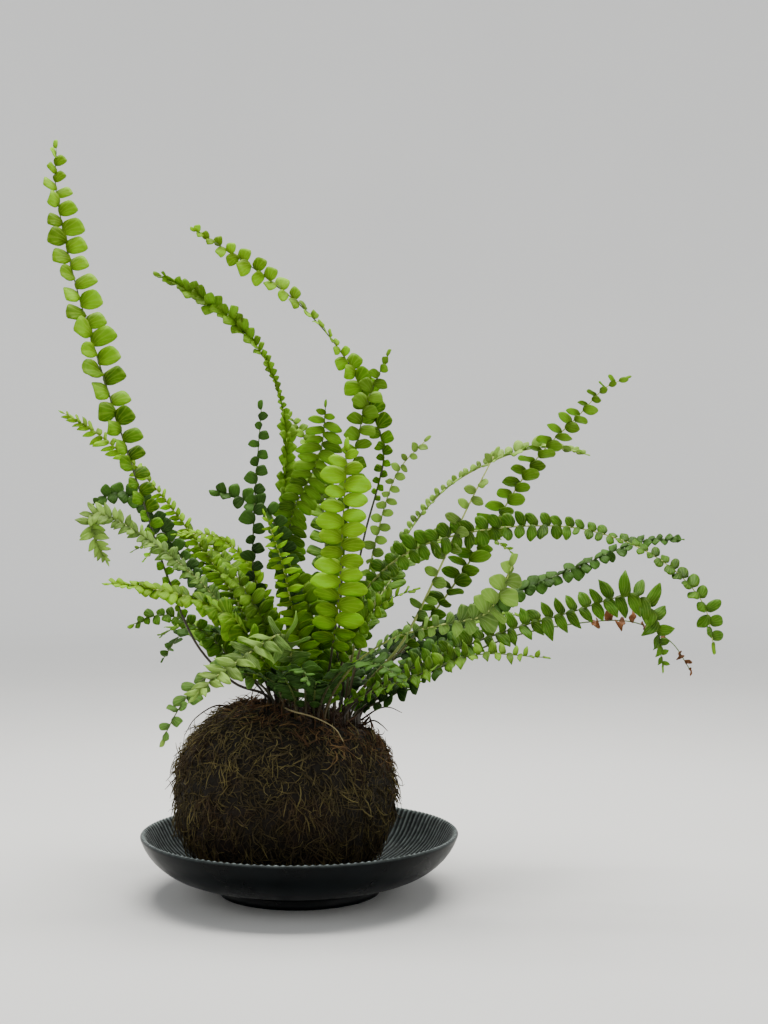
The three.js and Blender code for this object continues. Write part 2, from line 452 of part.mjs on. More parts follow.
// A frond as one thin closed sheet: a strip for the stem and rib, with leaflets growing from
// its edges and one at its end
function frondGeometry({ frond, rib, leaflets }) {
  const positions = [];
  const triangles = [];
  const vertex = (p) => positions.push(p.x, p.y, p.z) / 3 - 1;
  const quad = (a, b, c, d) => triangles.push(a, b, c, a, c, d);

  // Grows a leaflet out of an edge: its upper and lower faces are split alike
  function growLeaflet(points, face, from, to) {
    const half = BLADE_THICKNESS / 2;
    const upper = points.map((p) => vertex(p.clone().addScaledVector(face, half)));
    const lower = points.map((p) => vertex(p.clone().addScaledVector(face, -half)));
    quad(from.upper, upper[0], upper[upper.length - 1], to.upper);
    quad(from.lower, to.lower, lower[lower.length - 1], lower[0]);
    for (let i = 2; i < points.length; i += 1) {
      triangles.push(upper[0], upper[i - 1], upper[i]);
      triangles.push(lower[0], lower[i], lower[i - 1]);
    }
    const rim = [from, ...upper.map((u, i) => ({ upper: u, lower: lower[i] })), to];
    for (let i = 1; i < rim.length; i += 1) {
      quad(rim[i - 1].lower, rim[i].lower, rim[i].upper, rim[i - 1].upper);
    }
  }

  const lengths = [0, rib.stemEnd];
  const roots = new Map();
  const first = leaflets.length > 0 ? leaflets[0].at : rib.total;
  const bareSteps = Math.max(1, Math.round((first - rib.stemEnd) / STEM.step));
  for (let i = 1; i < bareSteps; i += 1) {
    lengths.push(rib.stemEnd + (first - rib.stemEnd) * i / bareSteps);
  }
  for (const leaflet of leaflets) {
    roots.set(lengths.length, leaflet);
    lengths.push(leaflet.at - LEAFLET.root / 2, leaflet.at + LEAFLET.root / 2);
  }
  lengths.push(rib.total);

  const stations = lengths.map((length) => {
    const frame = frameAt(rib, frond, length);
    const share = length / rib.total;
    const halfWidth = (STEM.width * (1 - share) + STEM.tipWidth * share) / 2;
    const halfThick = (STEM.thickness * (1 - share) + BLADE_THICKNESS * share) / 2;
    const corner = (across, up) => vertex(frame.place.clone()
      .addScaledVector(frame.side, across * halfWidth)
      .addScaledVector(frame.face, up * halfThick));
    return {
      left: { upper: corner(-1, 1), lower: corner(-1, -1) },
      right: { upper: corner(1, 1), lower: corner(1, -1) },
    };
  });

  const start = stations[0];
  quad(start.left.lower, start.right.lower, start.right.upper, start.left.upper);
  for (let i = 1; i < stations.length; i += 1) {
    const [a, b] = [stations[i - 1], stations[i]];
    quad(a.left.upper, a.right.upper, b.right.upper, b.left.upper);
    quad(a.left.lower, b.left.lower, b.right.lower, a.right.lower);
    const leaflet = roots.get(i - 1);
    const hands = leaflet ? leaflet.hands : [];
    const frame = leaflet ? frameAt(rib, frond, leaflet.at) : null;
    if (hands.includes(1)) {
      growLeaflet(leafletPoints(frame, 1, leaflet.size, frond.plain), frame.face, a.right, b.right);
    } else {
      quad(a.right.lower, b.right.lower, b.right.upper, a.right.upper);
    }
    if (hands.includes(-1)) {
      const points = leafletPoints(frame, -1, leaflet.size, frond.plain).reverse();
      growLeaflet(points, frame.face, b.left, a.left);
    } else {
      quad(b.left.lower, a.left.lower, a.left.upper, b.left.upper);
    }
  }
  const end = stations[stations.length - 1];
  const tip = frameAt(rib, frond, rib.total);
  growLeaflet(tipPoints(tip, frond.leaflet), tip.face, end.right, end.left);

  const geometry = new THREE.BufferGeometry();
  geometry.setAttribute('position', new THREE.Float32BufferAttribute(positions, 3));
  geometry.setIndex(triangles);
  geometry.computeVertexNormals();
  return geometry;
}

// The plain hole in the soil that a stem stands in, open at the top and turned as the stem is
function stemHole({ frond, rib }) {
  const depth = BALL.z + BALL.halfHeight - STEM.foot;
  const across = STEM.width + 2 * TOUCH_GAP;
  const through = STEM.thickness + 2 * TOUCH_GAP;
  const hole = new THREE.BoxGeometry(through, across, depth);
  const { side, face } = frameAt(rib, frond, 0);
  const turn = new THREE.Matrix4().makeBasis(face, side, new THREE.Vector3(0, 0, 1));
  turn.setPosition(frond.root[0], frond.root[1], STEM.foot + depth / 2);
  hole.applyMatrix4(turn);
  return toSolid(hole);
}

const plants = FRONDS.map((frond) => ({ frond, rib: ribLine(frond) }));
chooseLeaflets(plants);

const glaze = new THREE.MeshStandardMaterial({ color: 0x1d2626, roughness: 0.22, metalness: 0 });
const peat = new THREE.MeshStandardMaterial({ color: 0x2b211a, roughness: 1, metalness: 0 });
const dryMoss = new THREE.MeshStandardMaterial({ color: 0x4a4128, roughness: 1, metalness: 0 });

add('dish', dishGeometry(), glaze);
add('moss_wrap', toGeometry(mossSolid()), dryMoss);

let soil = soilSolid();
for (const plant of plants) {
  soil = soil.subtract(stemHole(plant));
}
add('soil_ball', toGeometry(soil), peat);

const leafGreens = {};
for (const [tone, color] of Object.entries(TONES)) {
  leafGreens[tone] = new THREE.MeshStandardMaterial({ color, roughness: 0.55, metalness: 0 });
}
for (const plant of plants) {
  add(plant.frond.name, frondGeometry(plant), leafGreens[plant.frond.tone]);
}

export default kokedama;
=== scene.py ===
"""A kokedama: a button fern in a ball of soil wrapped in dry moss, in a ribbed dish.

Lengths are metres, and the tables are in millimetres, turned into metres by MM.
The origin is the middle of the dish's foot, +Z is up and the front faces -Y.
"""

import math
import random

import bpy
from mathutils import Matrix, Vector, bvhtree, noise


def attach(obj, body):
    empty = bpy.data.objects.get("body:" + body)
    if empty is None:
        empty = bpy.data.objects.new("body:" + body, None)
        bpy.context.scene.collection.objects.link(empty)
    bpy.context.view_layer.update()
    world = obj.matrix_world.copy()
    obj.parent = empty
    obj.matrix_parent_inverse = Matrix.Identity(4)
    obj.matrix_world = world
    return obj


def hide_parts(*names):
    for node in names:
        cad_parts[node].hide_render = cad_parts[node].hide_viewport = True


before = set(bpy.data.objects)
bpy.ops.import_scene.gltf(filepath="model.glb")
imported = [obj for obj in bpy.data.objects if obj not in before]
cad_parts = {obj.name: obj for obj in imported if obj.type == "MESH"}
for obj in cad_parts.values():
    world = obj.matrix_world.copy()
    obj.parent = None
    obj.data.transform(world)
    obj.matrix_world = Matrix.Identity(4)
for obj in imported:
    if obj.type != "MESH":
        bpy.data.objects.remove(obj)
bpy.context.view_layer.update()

MM = 0.001
MERGE_DISTANCE = 1e-6
LEAST_STEP = 1e-9

# The ball and its crown, where the stems leave the soil
BALL_CENTRE = Vector((-7, 0, 49)) * MM
BALL_RADIUS = 54.5 * MM
BALL_HALF_HEIGHT = 47 * MM
BALL_SQUARENESS = 2.3
BALL_FLAT = 6.6 * MM
MOSS_THICKNESS = 5.4 * MM
SOIL_INSET = 6.3 * MM
CROWN_X = 6 * MM
CROWN_RADIUS = 27 * MM
MOUTH_RADIUS = 30 * MM
MOUND_FOOT = 75 * MM
MOUND_RISE = 9 * MM
BLADE_KEEP_OUT = 1.5 * MM

# The dish's half section, from the middle of the underside out to the lip and back in
DISH_UNDERSIDE = [(0, 3.2), (20, 3.2), (32, 3.1), (34.6, 2.4), (35.6, 0.6), (36.4, 0), (38.4, 0),
                  (39.4, 0.6), (39.4, 2.4), (38.8, 4.6), (40.4, 6), (46, 7), (58, 9.6), (66, 13.6),
                  (72, 18.8), (75.6, 24), (77.2, 27.6), (77.5, 28.8), (77, 29.35)]
DISH_INSIDE = [(76.2, 29.3), (75.4, 28.6), (74.2, 26.8), (72, 22.8), (68.5, 17.6), (62.5, 12.6), (55, 9.2),
               (48, 7.1), (42, 6.4), (34, 6.2), (18, 6.1), (0, 6.1)]
DISH_RIBS = 148
DISH_COLUMNS = 4 * DISH_RIBS
RIB_HEIGHT = 0.42 * MM
RIB_INNER_RADIUS = 40 * MM
RIB_OUTER_RADIUS = 76.95 * MM
RIB_FADE = 6 * MM
RIB_LEAST_HEIGHT = 6 * MM
LIP_BAND = 1 * MM
DISH_STEPS = 2
DISH_FLOOR_STEPS = 6

# Fronds
STEM_FOOT = 70.3 * MM
STEM_CLEAR_OF_SOIL = 6 * MM
CURVE_STEPS = 8
RIB_SIDES = 6
RIB_FOOT_RADIUS = 0.78 * MM
RIB_TIP_RADIUS = 0.24 * MM
BLADE_THICKNESS = 0.3 * MM
BLADE_CLEARANCE = 2.4 * MM
FOOT_OVERLAP = 0.05
CLOSING_FROM = 0.86
YOUNG_FRONDS = 18

# The fronds, traced from the front first. Each grows from its root, through the points given, to
# its tip, with its upper face turning from each facing to the next. leaf is the kind of leaflet,
# size its length and width, pitch the step between leaflets on one side, bare the share of the
# stem without them and sparse the share that has dropped. fold is how far the left and the right
# leaflets are lifted, sweep how far they lean to the tip and roll how far they turn about their
# length, in degrees, and unruly how much they stray from these. growth gives their size at shares
# of the leafy length, young how much of the new green they take on towards the tip and stem how
# stout the rib is. What a frond doesn't say is as in FROND_HABIT.
FROND_HABIT = dict(leaf="oval", fold=(15, 15), sweep=(12, 12), roll=8, unruly=1.35, sparse=0.0, young=1.0,
                   stem=1.0, rib="dark", growth=[(0, 0.6), (0.25, 1), (0.6, 1), (1, 0.4)])
FRONDS = {
    "frond_tall_left": dict(
        tone="bright", root=(-15, -6),
        through=[(-32, -7, 103), (-50, -8, 122), (-64, -9, 155), (-76, -8, 192), (-92, -4, 240),
                 (-110, 2, 296), (-121, 8, 343), (-122, 12, 367)],
        facing=[(0.25, -0.95, 0.2), (0.1, -0.95, 0.1)],
        leaf="fan", size=(11.6, 11.6), pitch=9.9, bare=0.2, fold=(52, 6), sweep=(2, 6), roll=2, unruly=0.9,
        growth=[(0, 0.3), (0.12, 0.5), (0.3, 0.72), (0.45, 0.95), (0.62, 1), (0.85, 0.82), (1, 0.42)]),
    "frond_arch_left": dict(
        tone="mid", root=(-2, 18),
        through=[(-6, 24, 121), (-9, 30, 161), (-10, 34, 192), (-9, 38, 222), (-13, 41, 247),
                 (-23, 43, 269), (-43, 45, 290), (-75, 48, 309)],
        facing=[(0.95, -0.3, 0), (0.6, -0.8, 0), (0.5, -0.85, 0), (-0.1, -0.9, 0.3), (-0.35, -0.85, 0.4)],
        leaf="fan", size=(8.2, 7.8), pitch=4.6, bare=0.3, fold=(50, 46), sweep=(30, 30), young=1.8,
        rib="pale",
        growth=[(0, 0.85), (0.15, 0.95), (0.34, 0.85), (0.42, 0.42), (0.6, 0.5), (0.68, 0.95), (0.9, 1),
                (1, 0.6)]),
    "frond_arch_mid": dict(
        tone="bright", root=(20, 12),
        through=[(25, 15, 137), (31, 16, 172), (38, 16, 198), (41, 13, 214), (37, 10, 231),
                 (23, 4, 260), (4, -4, 283), (-21, -10, 303), (-49, -16, 321)],
        facing=[(-0.8, -0.5, 0.2), (-0.8, -0.5, 0.2), (-0.6, -0.7, 0.2), (-0.4, -0.85, 0.2), (0, -0.9, 0.4),
                (0.1, -0.9, 0.4), (0.6, -0.4, 0.65), (0.1, -0.95, 0.3), (0.1, -0.95, 0.3)],
        leaf="fan", size=(7.6, 8.4), pitch=7.4, bare=0.38, fold=(14, 14),
        growth=[(0, 0.45), (0.12, 0.55), (0.24, 1.3), (0.38, 1.15), (0.47, 0.6), (0.58, 0.55), (0.66, 0.95),
                (0.84, 0.95), (1, 0.45)]),
    "frond_sprig_mid": dict(
        tone="mid", root=(17, 3),
        through=[(19, 4, 128), (22, 5, 172), (27, 3, 214), (33, 1, 240), (43, -2, 262)],
        facing=[(0, -1, 0.1), (0, -0.95, 0.2)],
        leaf="fan", size=(7.8, 7.4), pitch=8.4, bare=0.4, fold=(30, 10), roll=18,
        growth=[(0, 0.6), (0.4, 1), (0.8, 1), (1, 0.5)]),
    "frond_slim_left": dict(
        tone="deep", root=(-8, 1),
        through=[(-19, 0, 119), (-23, 0, 157), (-22, 0, 194), (-19, 0, 236)],
        facing=[(0.2, -0.95, 0), (0.2, -0.95, 0)],
        leaf="fan", size=(7.2, 7.4), pitch=9.6, bare=0.26, fold=(35, 20), roll=16,
        growth=[(0, 0.8), (0.5, 1), (1, 0.7)]),
    "frond_bright_front": dict(
        tone="bright", root=(12, -17),
        through=[(16, -27, 116), (20, -36, 145), (22, -42, 178), (24, -46, 214)],
        facing=[(0, -0.95, 0.4), (0, -1, 0.1)],
        size=(11.6, 8.4), pitch=7.1, bare=0.27, fold=(4, 3), sweep=(2, 2), roll=3, young=1.5, unruly=0.8,
        growth=[(0, 0.75), (0.2, 1.08), (0.6, 1), (0.88, 1), (0.94, 0.7), (1, 0.55)]),
    "frond_upright_mid": dict(
        tone="mid", root=(4, 14),
        through=[(1, 18, 127), (-7, 20, 158), (-5, 20, 184), (4, 19, 203), (10, 17, 219),
                 (12, 14, 238)],
        facing=[(0.1, -0.9, 0.3), (0.1, -0.9, 0.4)],
        size=(10.6, 6.4), pitch=4.7, bare=0.2, fold=(12, 12), sweep=(-20, -20), roll=16,
        growth=[(0, 0.9), (0.5, 0.95), (0.84, 1.05), (0.95, 0.85), (1, 0.4)]),
    "frond_slim_right": dict(
        tone="pale", root=(22, -1),
        through=[(27, 0, 123), (34, 0, 158), (42, -2, 190), (49, -4, 207), (61, -6, 220)],
        facing=[(0.3, -0.9, 0.2), (0.2, -0.8, 0.5)],
        size=(7.4, 6), pitch=7, bare=0.26, fold=(35, 25), roll=16, young=1.4, rib="pale",
        growth=[(0, 0.9), (0.5, 0.9), (1, 0.6)]),
    "frond_pale_arch_right": dict(
        tone="pale", root=(23, 7),
        through=[(33, 18, 129), (48, 26, 166), (71, 32, 196), (100, 37, 213), (124, 39, 219),
                 (144, 39, 216)],
        facing=[(-0.8, -0.5, 0.4), (-0.1, -0.3, 0.95)],
        size=(7.8, 6.4), pitch=4.6, bare=0.32, fold=(50, 35), sweep=(25, 25), young=1.4, rib="pale",
        growth=[(0, 0.7), (0.3, 0.5), (0.6, 0.55), (0.75, 1), (1, 0.5)]),
    "frond_bare_right": dict(
        tone="pale", root=(23, -8),
        through=[(34, -11, 104), (50, -15, 123), (66, -20, 155), (80, -24, 186), (93, -28, 212)],
        facing=[(-0.4, -0.8, 0.4), (-0.4, -0.9, 0.3)],
        size=(8, 6.4), pitch=9, bare=0.36, fold=(40, 20), sparse=0.25, young=1.2, stem=1.3, rib="pale",
        growth=[(0, 0.8), (0.5, 1), (1, 0.7)]),
    "frond_upper_right": dict(
        tone="mid", root=(27, 3),
        through=[(41, 6, 107), (66, 8, 136), (91, 9, 172), (116, 8, 211), (137, 5, 233),
                 (149, 2, 246), (159, 0, 251)],
        facing=[(-0.4, -0.7, 0.6), (-0.4, -0.85, 0.35)],
        size=(10, 7.6), pitch=6.8, bare=0.2, fold=(26, 8), sweep=(-28, 30), roll=54, young=1.2, rib="pale",
        growth=[(0, 0.8), (0.3, 1), (0.75, 0.9), (1, 0.4)]),
    "frond_big_arch_right": dict(
        tone="mid", root=(17, -8),
        through=[(22, -10, 117), (32, -14, 147), (54, -20, 167), (87, -26, 177), (124, -31, 179),
                 (151, -36, 173), (173, -41, 161), (188, -46, 144), (192, -50, 126)],
        facing=[(-0.8, -0.5, 0.3), (-0.8, -0.5, 0.3), (-0.3, -0.85, 0.3), (0, -0.95, 0.25),
                (0.2, -0.5, 0.85), (0.5, -0.85, 0.2)],
        size=(8.4, 6.4), pitch=6, bare=0.14, fold=(10, 12), sweep=(-32, 6), young=0.45, rib="pale",
        growth=[(0, 0.9), (0.2, 1), (0.5, 1), (0.6, 0.72), (0.74, 0.66), (0.82, 0.8), (0.88, 1),
                (0.95, 0.95), (1, 0.7)]),
    "frond_dark_right": dict(
        tone="deep", root=(24, 12),
        through=[(42, 20, 108), (70, 25, 127), (105, 28, 143), (140, 28, 158), (169, 24, 170),
                 (189, 20, 172)],
        facing=[(-0.3, -0.3, 0.9), (-0.2, -0.3, 0.95)],
        leaf="fan", size=(7.4, 7.8), pitch=5.3, bare=0.2, fold=(25, -32), sweep=(18, 14), young=1.2,
        growth=[(0, 0.9), (0.3, 1), (0.7, 0.85), (1, 0.5)]),
    "frond_feather_right": dict(
        tone="mid", root=(22, -14),
        through=[(37, -21, 102), (63, -34, 116), (95, -46, 130), (126, -55, 140), (152, -62, 148),
                 (162, -66, 139), (166, -66, 117)],
        facing=[(-0.2, -0.6, 0.7), (0, -0.8, 0.5), (0, -0.85, 0.45), (0.5, -0.9, 0.1)],
        leaf="pointed", size=(9.8, 6.8), pitch=5.7, bare=0.12, fold=(10, 12), sweep=(-14, 22), young=0.5,
        growth=[(0, 0.75), (0.25, 1), (0.7, 1), (0.77, 1.15), (0.88, 1.1), (0.93, 0.7), (1, 0.4)]),
    "frond_dry_tip": dict(
        tone="dry", root=(28, -3),
        through=[(44, -5, 98), (70, -8, 111), (102, -10, 125), (134, -13, 132), (160, -16, 133),
                 (178, -18, 124), (187, -20, 111)],
        facing=[(-0.2, -0.4, 0.9), (0.6, -0.7, 0.3)],
        leaf="crumpled", size=(5.8, 4.8), pitch=12, bare=0.7, fold=(50, 40), sparse=0.2,
        growth=[(0, 1), (0.7, 0.7), (1, 0.6)]),
    "frond_short_right": dict(
        tone="mid", root=(17, -20),
        through=[(34, -31, 100), (56, -44, 110), (83, -58, 121), (112, -70, 121)],
        facing=[(-0.2, -0.5, 0.85), (0, -0.7, 0.7)],
        leaf="pointed", size=(9.8, 6.8), pitch=6.4, bare=0.06, fold=(16, 20), sweep=(-10, 20)),
    "frond_low_right": dict(
        tone="deep", root=(27, -8),
        through=[(43, -13, 96), (57, -18, 105), (70, -22, 113), (83, -25, 119)],
        facing=[(-0.2, -0.5, 0.85), (0.1, -0.7, 0.7)],
        leaf="fan", size=(8.4, 8.2), pitch=7, bare=0.1, fold=(25, 15)),
    "frond_low_mid_right": dict(
        tone="deep", root=(28, 8),
        through=[(43, 9, 101), (58, 11, 112), (74, 12, 121), (91, 12, 127)],
        facing=[(-0.3, -0.5, 0.8), (-0.1, -0.5, 0.85)],
        size=(8.5, 7.4), pitch=6.8, bare=0.06, fold=(20, 15)),
    "frond_toward_right": dict(
        tone="pale", root=(13, -23),
        through=[(25, -38, 112), (44, -60, 128), (66, -80, 136), (83, -95, 141), (90, -104, 150),
                 (95, -110, 163)],
        facing=[(-0.4, 0.6, 0.6), (-0.3, -0.2, 0.9), (0, -0.95, 0.25), (-0.1, -0.95, 0.1)],
        leaf="fan", size=(8.6, 8.8), pitch=7.8, bare=0.34, fold=(10, 8), roll=6, young=0.85, rib="pale",
        growth=[(0, 0.5), (0.4, 0.6), (0.7, 1), (0.9, 1), (1, 0.7)]),
    "frond_pale_front_left": dict(
        tone="pale", root=(-1, -22),
        through=[(-2, -36, 118), (-6, -46, 129), (-15, -53, 125), (-25, -59, 118), (-34, -64, 112),
                 (-42, -69, 105)],
        facing=[(0.3, 0.2, 0.9), (0, -0.8, 0.6), (-0.3, -0.85, 0.4), (-0.4, -0.85, 0.4)],
        leaf="pointed", size=(12, 6.4), pitch=5.4, bare=0.16, fold=(10, 8), sweep=(0, 26), rib="pale",
        growth=[(0, 0.7), (0.3, 1), (0.8, 0.95), (1, 0.6)]),
    "frond_low_left": dict(
        tone="pale", root=(-12, -13),
        through=[(-25, -18, 108), (-38, -25, 110), (-48, -32, 103), (-55, -38, 93),
                 (-61, -42, 81)],
        facing=[(0.1, -0.5, 0.85), (-0.5, -0.8, 0.3)],
        leaf="fan", size=(8, 7.6), pitch=7.8, bare=0.14, fold=(10, 10), young=0.3,
        growth=[(0, 0.9), (0.6, 1), (1, 0.6)]),
    "frond_bright_left": dict(
        tone="bright", root=(-7, -18),
        through=[(-19, -26, 120), (-31, -34, 136), (-47, -41, 145), (-64, -47, 150),
                 (-84, -52, 153)],
        facing=[(0.3, -0.6, 0.6), (0.1, -0.3, 0.95), (0.1, -0.15, 0.98)],
        leaf="fan", size=(10, 8.8), pitch=4.4, bare=0.14, fold=(-20, 26), sweep=(24, 24), young=0.9,
        rib="pale",
        growth=[(0, 1), (0.35, 1.1), (0.5, 0.85), (0.8, 0.7), (1, 0.4)]),
    "frond_pale_left": dict(
        tone="pale", root=(-9, -8),
        through=[(-22, -12, 121), (-36, -16, 140), (-53, -20, 158), (-73, -25, 174),
                 (-88, -29, 183), (-96, -32, 184), (-95, -34, 175), (-89, -35, 163)],
        facing=[(0.4, -0.6, 0.6), (0.3, -0.3, 0.9), (0.2, -0.2, 0.95), (0.1, -0.4, 0.9), (-0.3, -0.95, 0.2)],
        leaf="narrow", size=(8.6, 5), pitch=3.1, bare=0.26, fold=(-14, 26), sweep=(26, 26), rib="pale",
        growth=[(0, 0.8), (0.4, 0.8), (0.62, 0.72), (0.74, 0.9), (0.9, 0.9), (1, 0.4)]),
    "frond_straight_left": dict(
        tone="bright", root=(-10, 12),
        through=[(-21, 20, 117), (-35, 27, 143), (-55, 33, 171), (-80, 38, 202), (-103, 42, 223),
                 (-125, 46, 237)],
        facing=[(0.5, -0.7, 0.4), (0.3, -0.8, 0.5)],
        leaf="narrow", size=(9.2, 4.8), pitch=4.4, bare=0.2, fold=(-14, -10), sweep=(34, 34), roll=22,
        young=1.3, rib="pale",
        growth=[(0, 0.9), (0.3, 0.85), (0.6, 0.65), (0.85, 0.9), (1, 0.45)]),
    "frond_yellow_left": dict(
        tone="bright", root=(-2, 4),
        through=[(-12, 5, 126), (-22, 5, 152), (-31, 4, 166), (-43, 2, 174), (-60, 0, 175)],
        facing=[(0.7, -0.6, 0.3), (0.3, -0.3, 0.9), (0.1, -0.15, 0.97)],
        leaf="narrow", size=(8, 5.4), pitch=3.8, bare=0.24, fold=(-14, 24), sweep=(26, 26), young=1.3,
        rib="pale",
        growth=[(0, 0.8), (0.5, 0.9), (1, 0.45)]),
    "frond_dark_left": dict(
        tone="deep", root=(-15, 6),
        through=[(-29, 10, 120), (-49, 14, 147), (-68, 16, 174), (-80, 15, 191), (-92, 13, 195),
                 (-103, 10, 190)],
        facing=[(0.4, -0.6, 0.6), (-0.1, -0.6, 0.85)],
        leaf="fan", size=(7, 7.8), pitch=6, bare=0.26, fold=(-16, 50),
        growth=[(0, 0.8), (0.5, 0.9), (0.85, 1), (0.94, 0.8), (1, 0.4)]),
    "frond_low_dark_left": dict(
        tone="mid", root=(-17, 0),
        through=[(-30, 1, 109), (-44, 2, 124), (-58, 1, 133), (-70, -1, 135), (-81, -4, 131)],
        facing=[(0.2, -0.6, 0.8), (-0.1, -0.85, 0.5)],
        leaf="fan", size=(5.2, 5.6), pitch=5, bare=0.14, fold=(10, 15), roll=4, young=0.3,
        growth=[(0, 1.4), (0.4, 1.4), (0.55, 0.95), (0.85, 0.9), (1, 0.7)]),
    "frond_curl_left": dict(
        tone="mid", root=(-9, 18),
        through=[(-22, 28, 119), (-40, 34, 146), (-58, 37, 166), (-74, 36, 171), (-87, 33, 166)],
        facing=[(0.3, -0.6, 0.7), (-0.1, -0.35, 0.95)],
        size=(8.4, 6.4), pitch=5.6, bare=0.16, fold=(-30, 45), sweep=(20, 20),
        growth=[(0, 1), (0.5, 0.85), (0.75, 0.45), (1, 0.3)]),
    "frond_dark_mid": dict(
        tone="deep", root=(4, 8),
        through=[(0, 10, 130), (-7, 10, 160), (-15, 9, 184), (-26, 7, 191), (-39, 4, 195)],
        facing=[(0.4, -0.8, 0.2), (0.1, -0.8, 0.5)],
        leaf="fan", size=(7.6, 7.2), pitch=6.4, bare=0.24, fold=(26, 26),
        growth=[(0, 0.8), (0.5, 1), (0.92, 1), (1, 0.85)]),
    "frond_yellow_mid": dict(
        tone="bright", root=(4, -12),
        through=[(2, -15, 117), (-3, -19, 141), (-8, -23, 164), (-15, -25, 184)],
        facing=[(0.2, -0.95, 0.2), (0.2, -0.9, 0.3)],
        leaf="narrow", size=(10.5, 5.4), pitch=5, bare=0.08, fold=(12, 12), roll=20, young=1.3, rib="pale",
        growth=[(0, 0.8), (0.3, 1), (1, 0.35)]),
    "frond_middle_left": dict(
        tone="mid", root=(-6, -3),
        through=[(-13, -4, 118), (-20, -8, 138), (-30, -12, 152), (-42, -14, 158)],
        facing=[(0.3, -0.8, 0.4), (0, -0.7, 0.7)],
        size=(9.5, 7.2), pitch=6, bare=0.04, fold=(20, 20), roll=14),
    "frond_middle": dict(
        tone="mid", root=(10, 0),
        through=[(9, -1, 118), (5, -4, 138), (0, -8, 152), (-4, -12, 160)],
        facing=[(0, -0.95, 0.2), (0, -0.9, 0.4)],
        size=(10, 7.4), pitch=6, bare=0.04, fold=(20, 20), roll=14),
    "frond_middle_right": dict(
        tone="mid", root=(11, -9),
        through=[(18, -13, 112), (29, -18, 130), (42, -24, 143), (55, -30, 149)],
        facing=[(-0.2, -0.7, 0.6), (0, -0.6, 0.8)],
        size=(10, 7.4), pitch=6, bare=0.04, fold=(20, 20), roll=14),
    "frond_front_right": dict(
        tone="deep", root=(10, -24),
        through=[(17, -39, 107), (28, -54, 116), (40, -68, 117), (50, -80, 111)],
        facing=[(-0.3, 0.7, 0.6), (0.1, -0.7, 0.7)],
        size=(9, 7.2), pitch=6.6, bare=0.06),
    "frond_front_mid": dict(
        tone="deep", root=(4, -23),
        through=[(4, -36, 107), (4, -48, 113), (5, -58, 114), (7, -67, 110)],
        facing=[(0, 0.6, 0.8), (0, -0.8, 0.5)],
        size=(9, 7), pitch=6.6, bare=0.06),
    "frond_back_tall": dict(
        tone="mid", root=(10, 20),
        through=[(11, 32, 121), (11, 46, 158), (8, 60, 193), (0, 74, 222), (-12, 86, 240)],
        facing=[(0.2, -0.95, 0.4), (0.1, -0.7, 0.7)],
        leaf="fan", size=(9.5, 9), pitch=7.6, bare=0.14),
    "frond_back_left": dict(
        tone="bright", root=(-6, 23),
        through=[(-17, 38, 118), (-34, 58, 148), (-54, 78, 168), (-76, 96, 172), (-92, 108, 160)],
        facing=[(0.4, -0.6, 0.6), (-0.3, 0.2, 0.95)],
        leaf="fan", size=(10, 9.4), pitch=7.6, bare=0.1, rib="pale"),
    "frond_back_right": dict(
        tone="mid", root=(16, 20),
        through=[(26, 36, 116), (43, 57, 147), (66, 79, 170), (91, 98, 176), (112, 112, 164)],
        facing=[(-0.4, -0.6, 0.6), (0.2, 0.2, 0.95)],
        size=(10.5, 8), pitch=6.6, bare=0.1, rib="pale"),
    "frond_back_mid": dict(
        tone="bright", root=(4, 24),
        through=[(3, 43, 114), (0, 67, 137), (-4, 92, 148), (-10, 115, 142), (-14, 130, 124)],
        facing=[(0, -0.7, 0.7), (-0.1, 0.5, 0.8)],
        size=(10, 8), pitch=6.6, bare=0.1, rib="pale"),
    "frond_back_low_left": dict(
        tone="deep", root=(-13, 18),
        through=[(-29, 34, 107), (-49, 54, 120), (-67, 73, 120), (-79, 86, 106)],
        facing=[(0.5, -0.5, 0.7), (-0.4, 0.4, 0.8)],
        leaf="fan", size=(9.5, 9), pitch=7.6, bare=0.08),
    "frond_back_low_right": dict(
        tone="deep", root=(22, 17),
        through=[(36, 34, 105), (54, 55, 119), (73, 74, 121), (87, 87, 109)],
        facing=[(-0.5, -0.5, 0.7), (0.4, 0.4, 0.8)],
        leaf="fan", size=(9.5, 9), pitch=7.6, bare=0.08),
    "frond_back_low": dict(
        tone="mid", root=(10, 25),
        through=[(14, 41, 104), (21, 60, 111), (28, 78, 105), (33, 91, 90)],
        facing=[(-0.2, -0.7, 0.7), (0.1, 0.6, 0.7)],
        size=(9.5, 7.8), pitch=6.6, bare=0.08),
    "frond_side_left": dict(
        tone="mid", root=(-16, 12),
        through=[(-33, 21, 107), (-50, 36, 120), (-65, 52, 126), (-77, 66, 120)],
        facing=[(0.7, -0.3, 0.6), (-0.4, 0.1, 0.9)],
        size=(9, 7.4), pitch=6.6, bare=0.08),
    "frond_side_right": dict(
        tone="mid", root=(29, 12),
        through=[(49, 24, 106), (76, 38, 123), (104, 50, 132), (130, 58, 126)],
        facing=[(-0.7, -0.3, 0.6), (0.3, 0.1, 0.9)],
        size=(9, 7.4), pitch=6.6, bare=0.08),
}

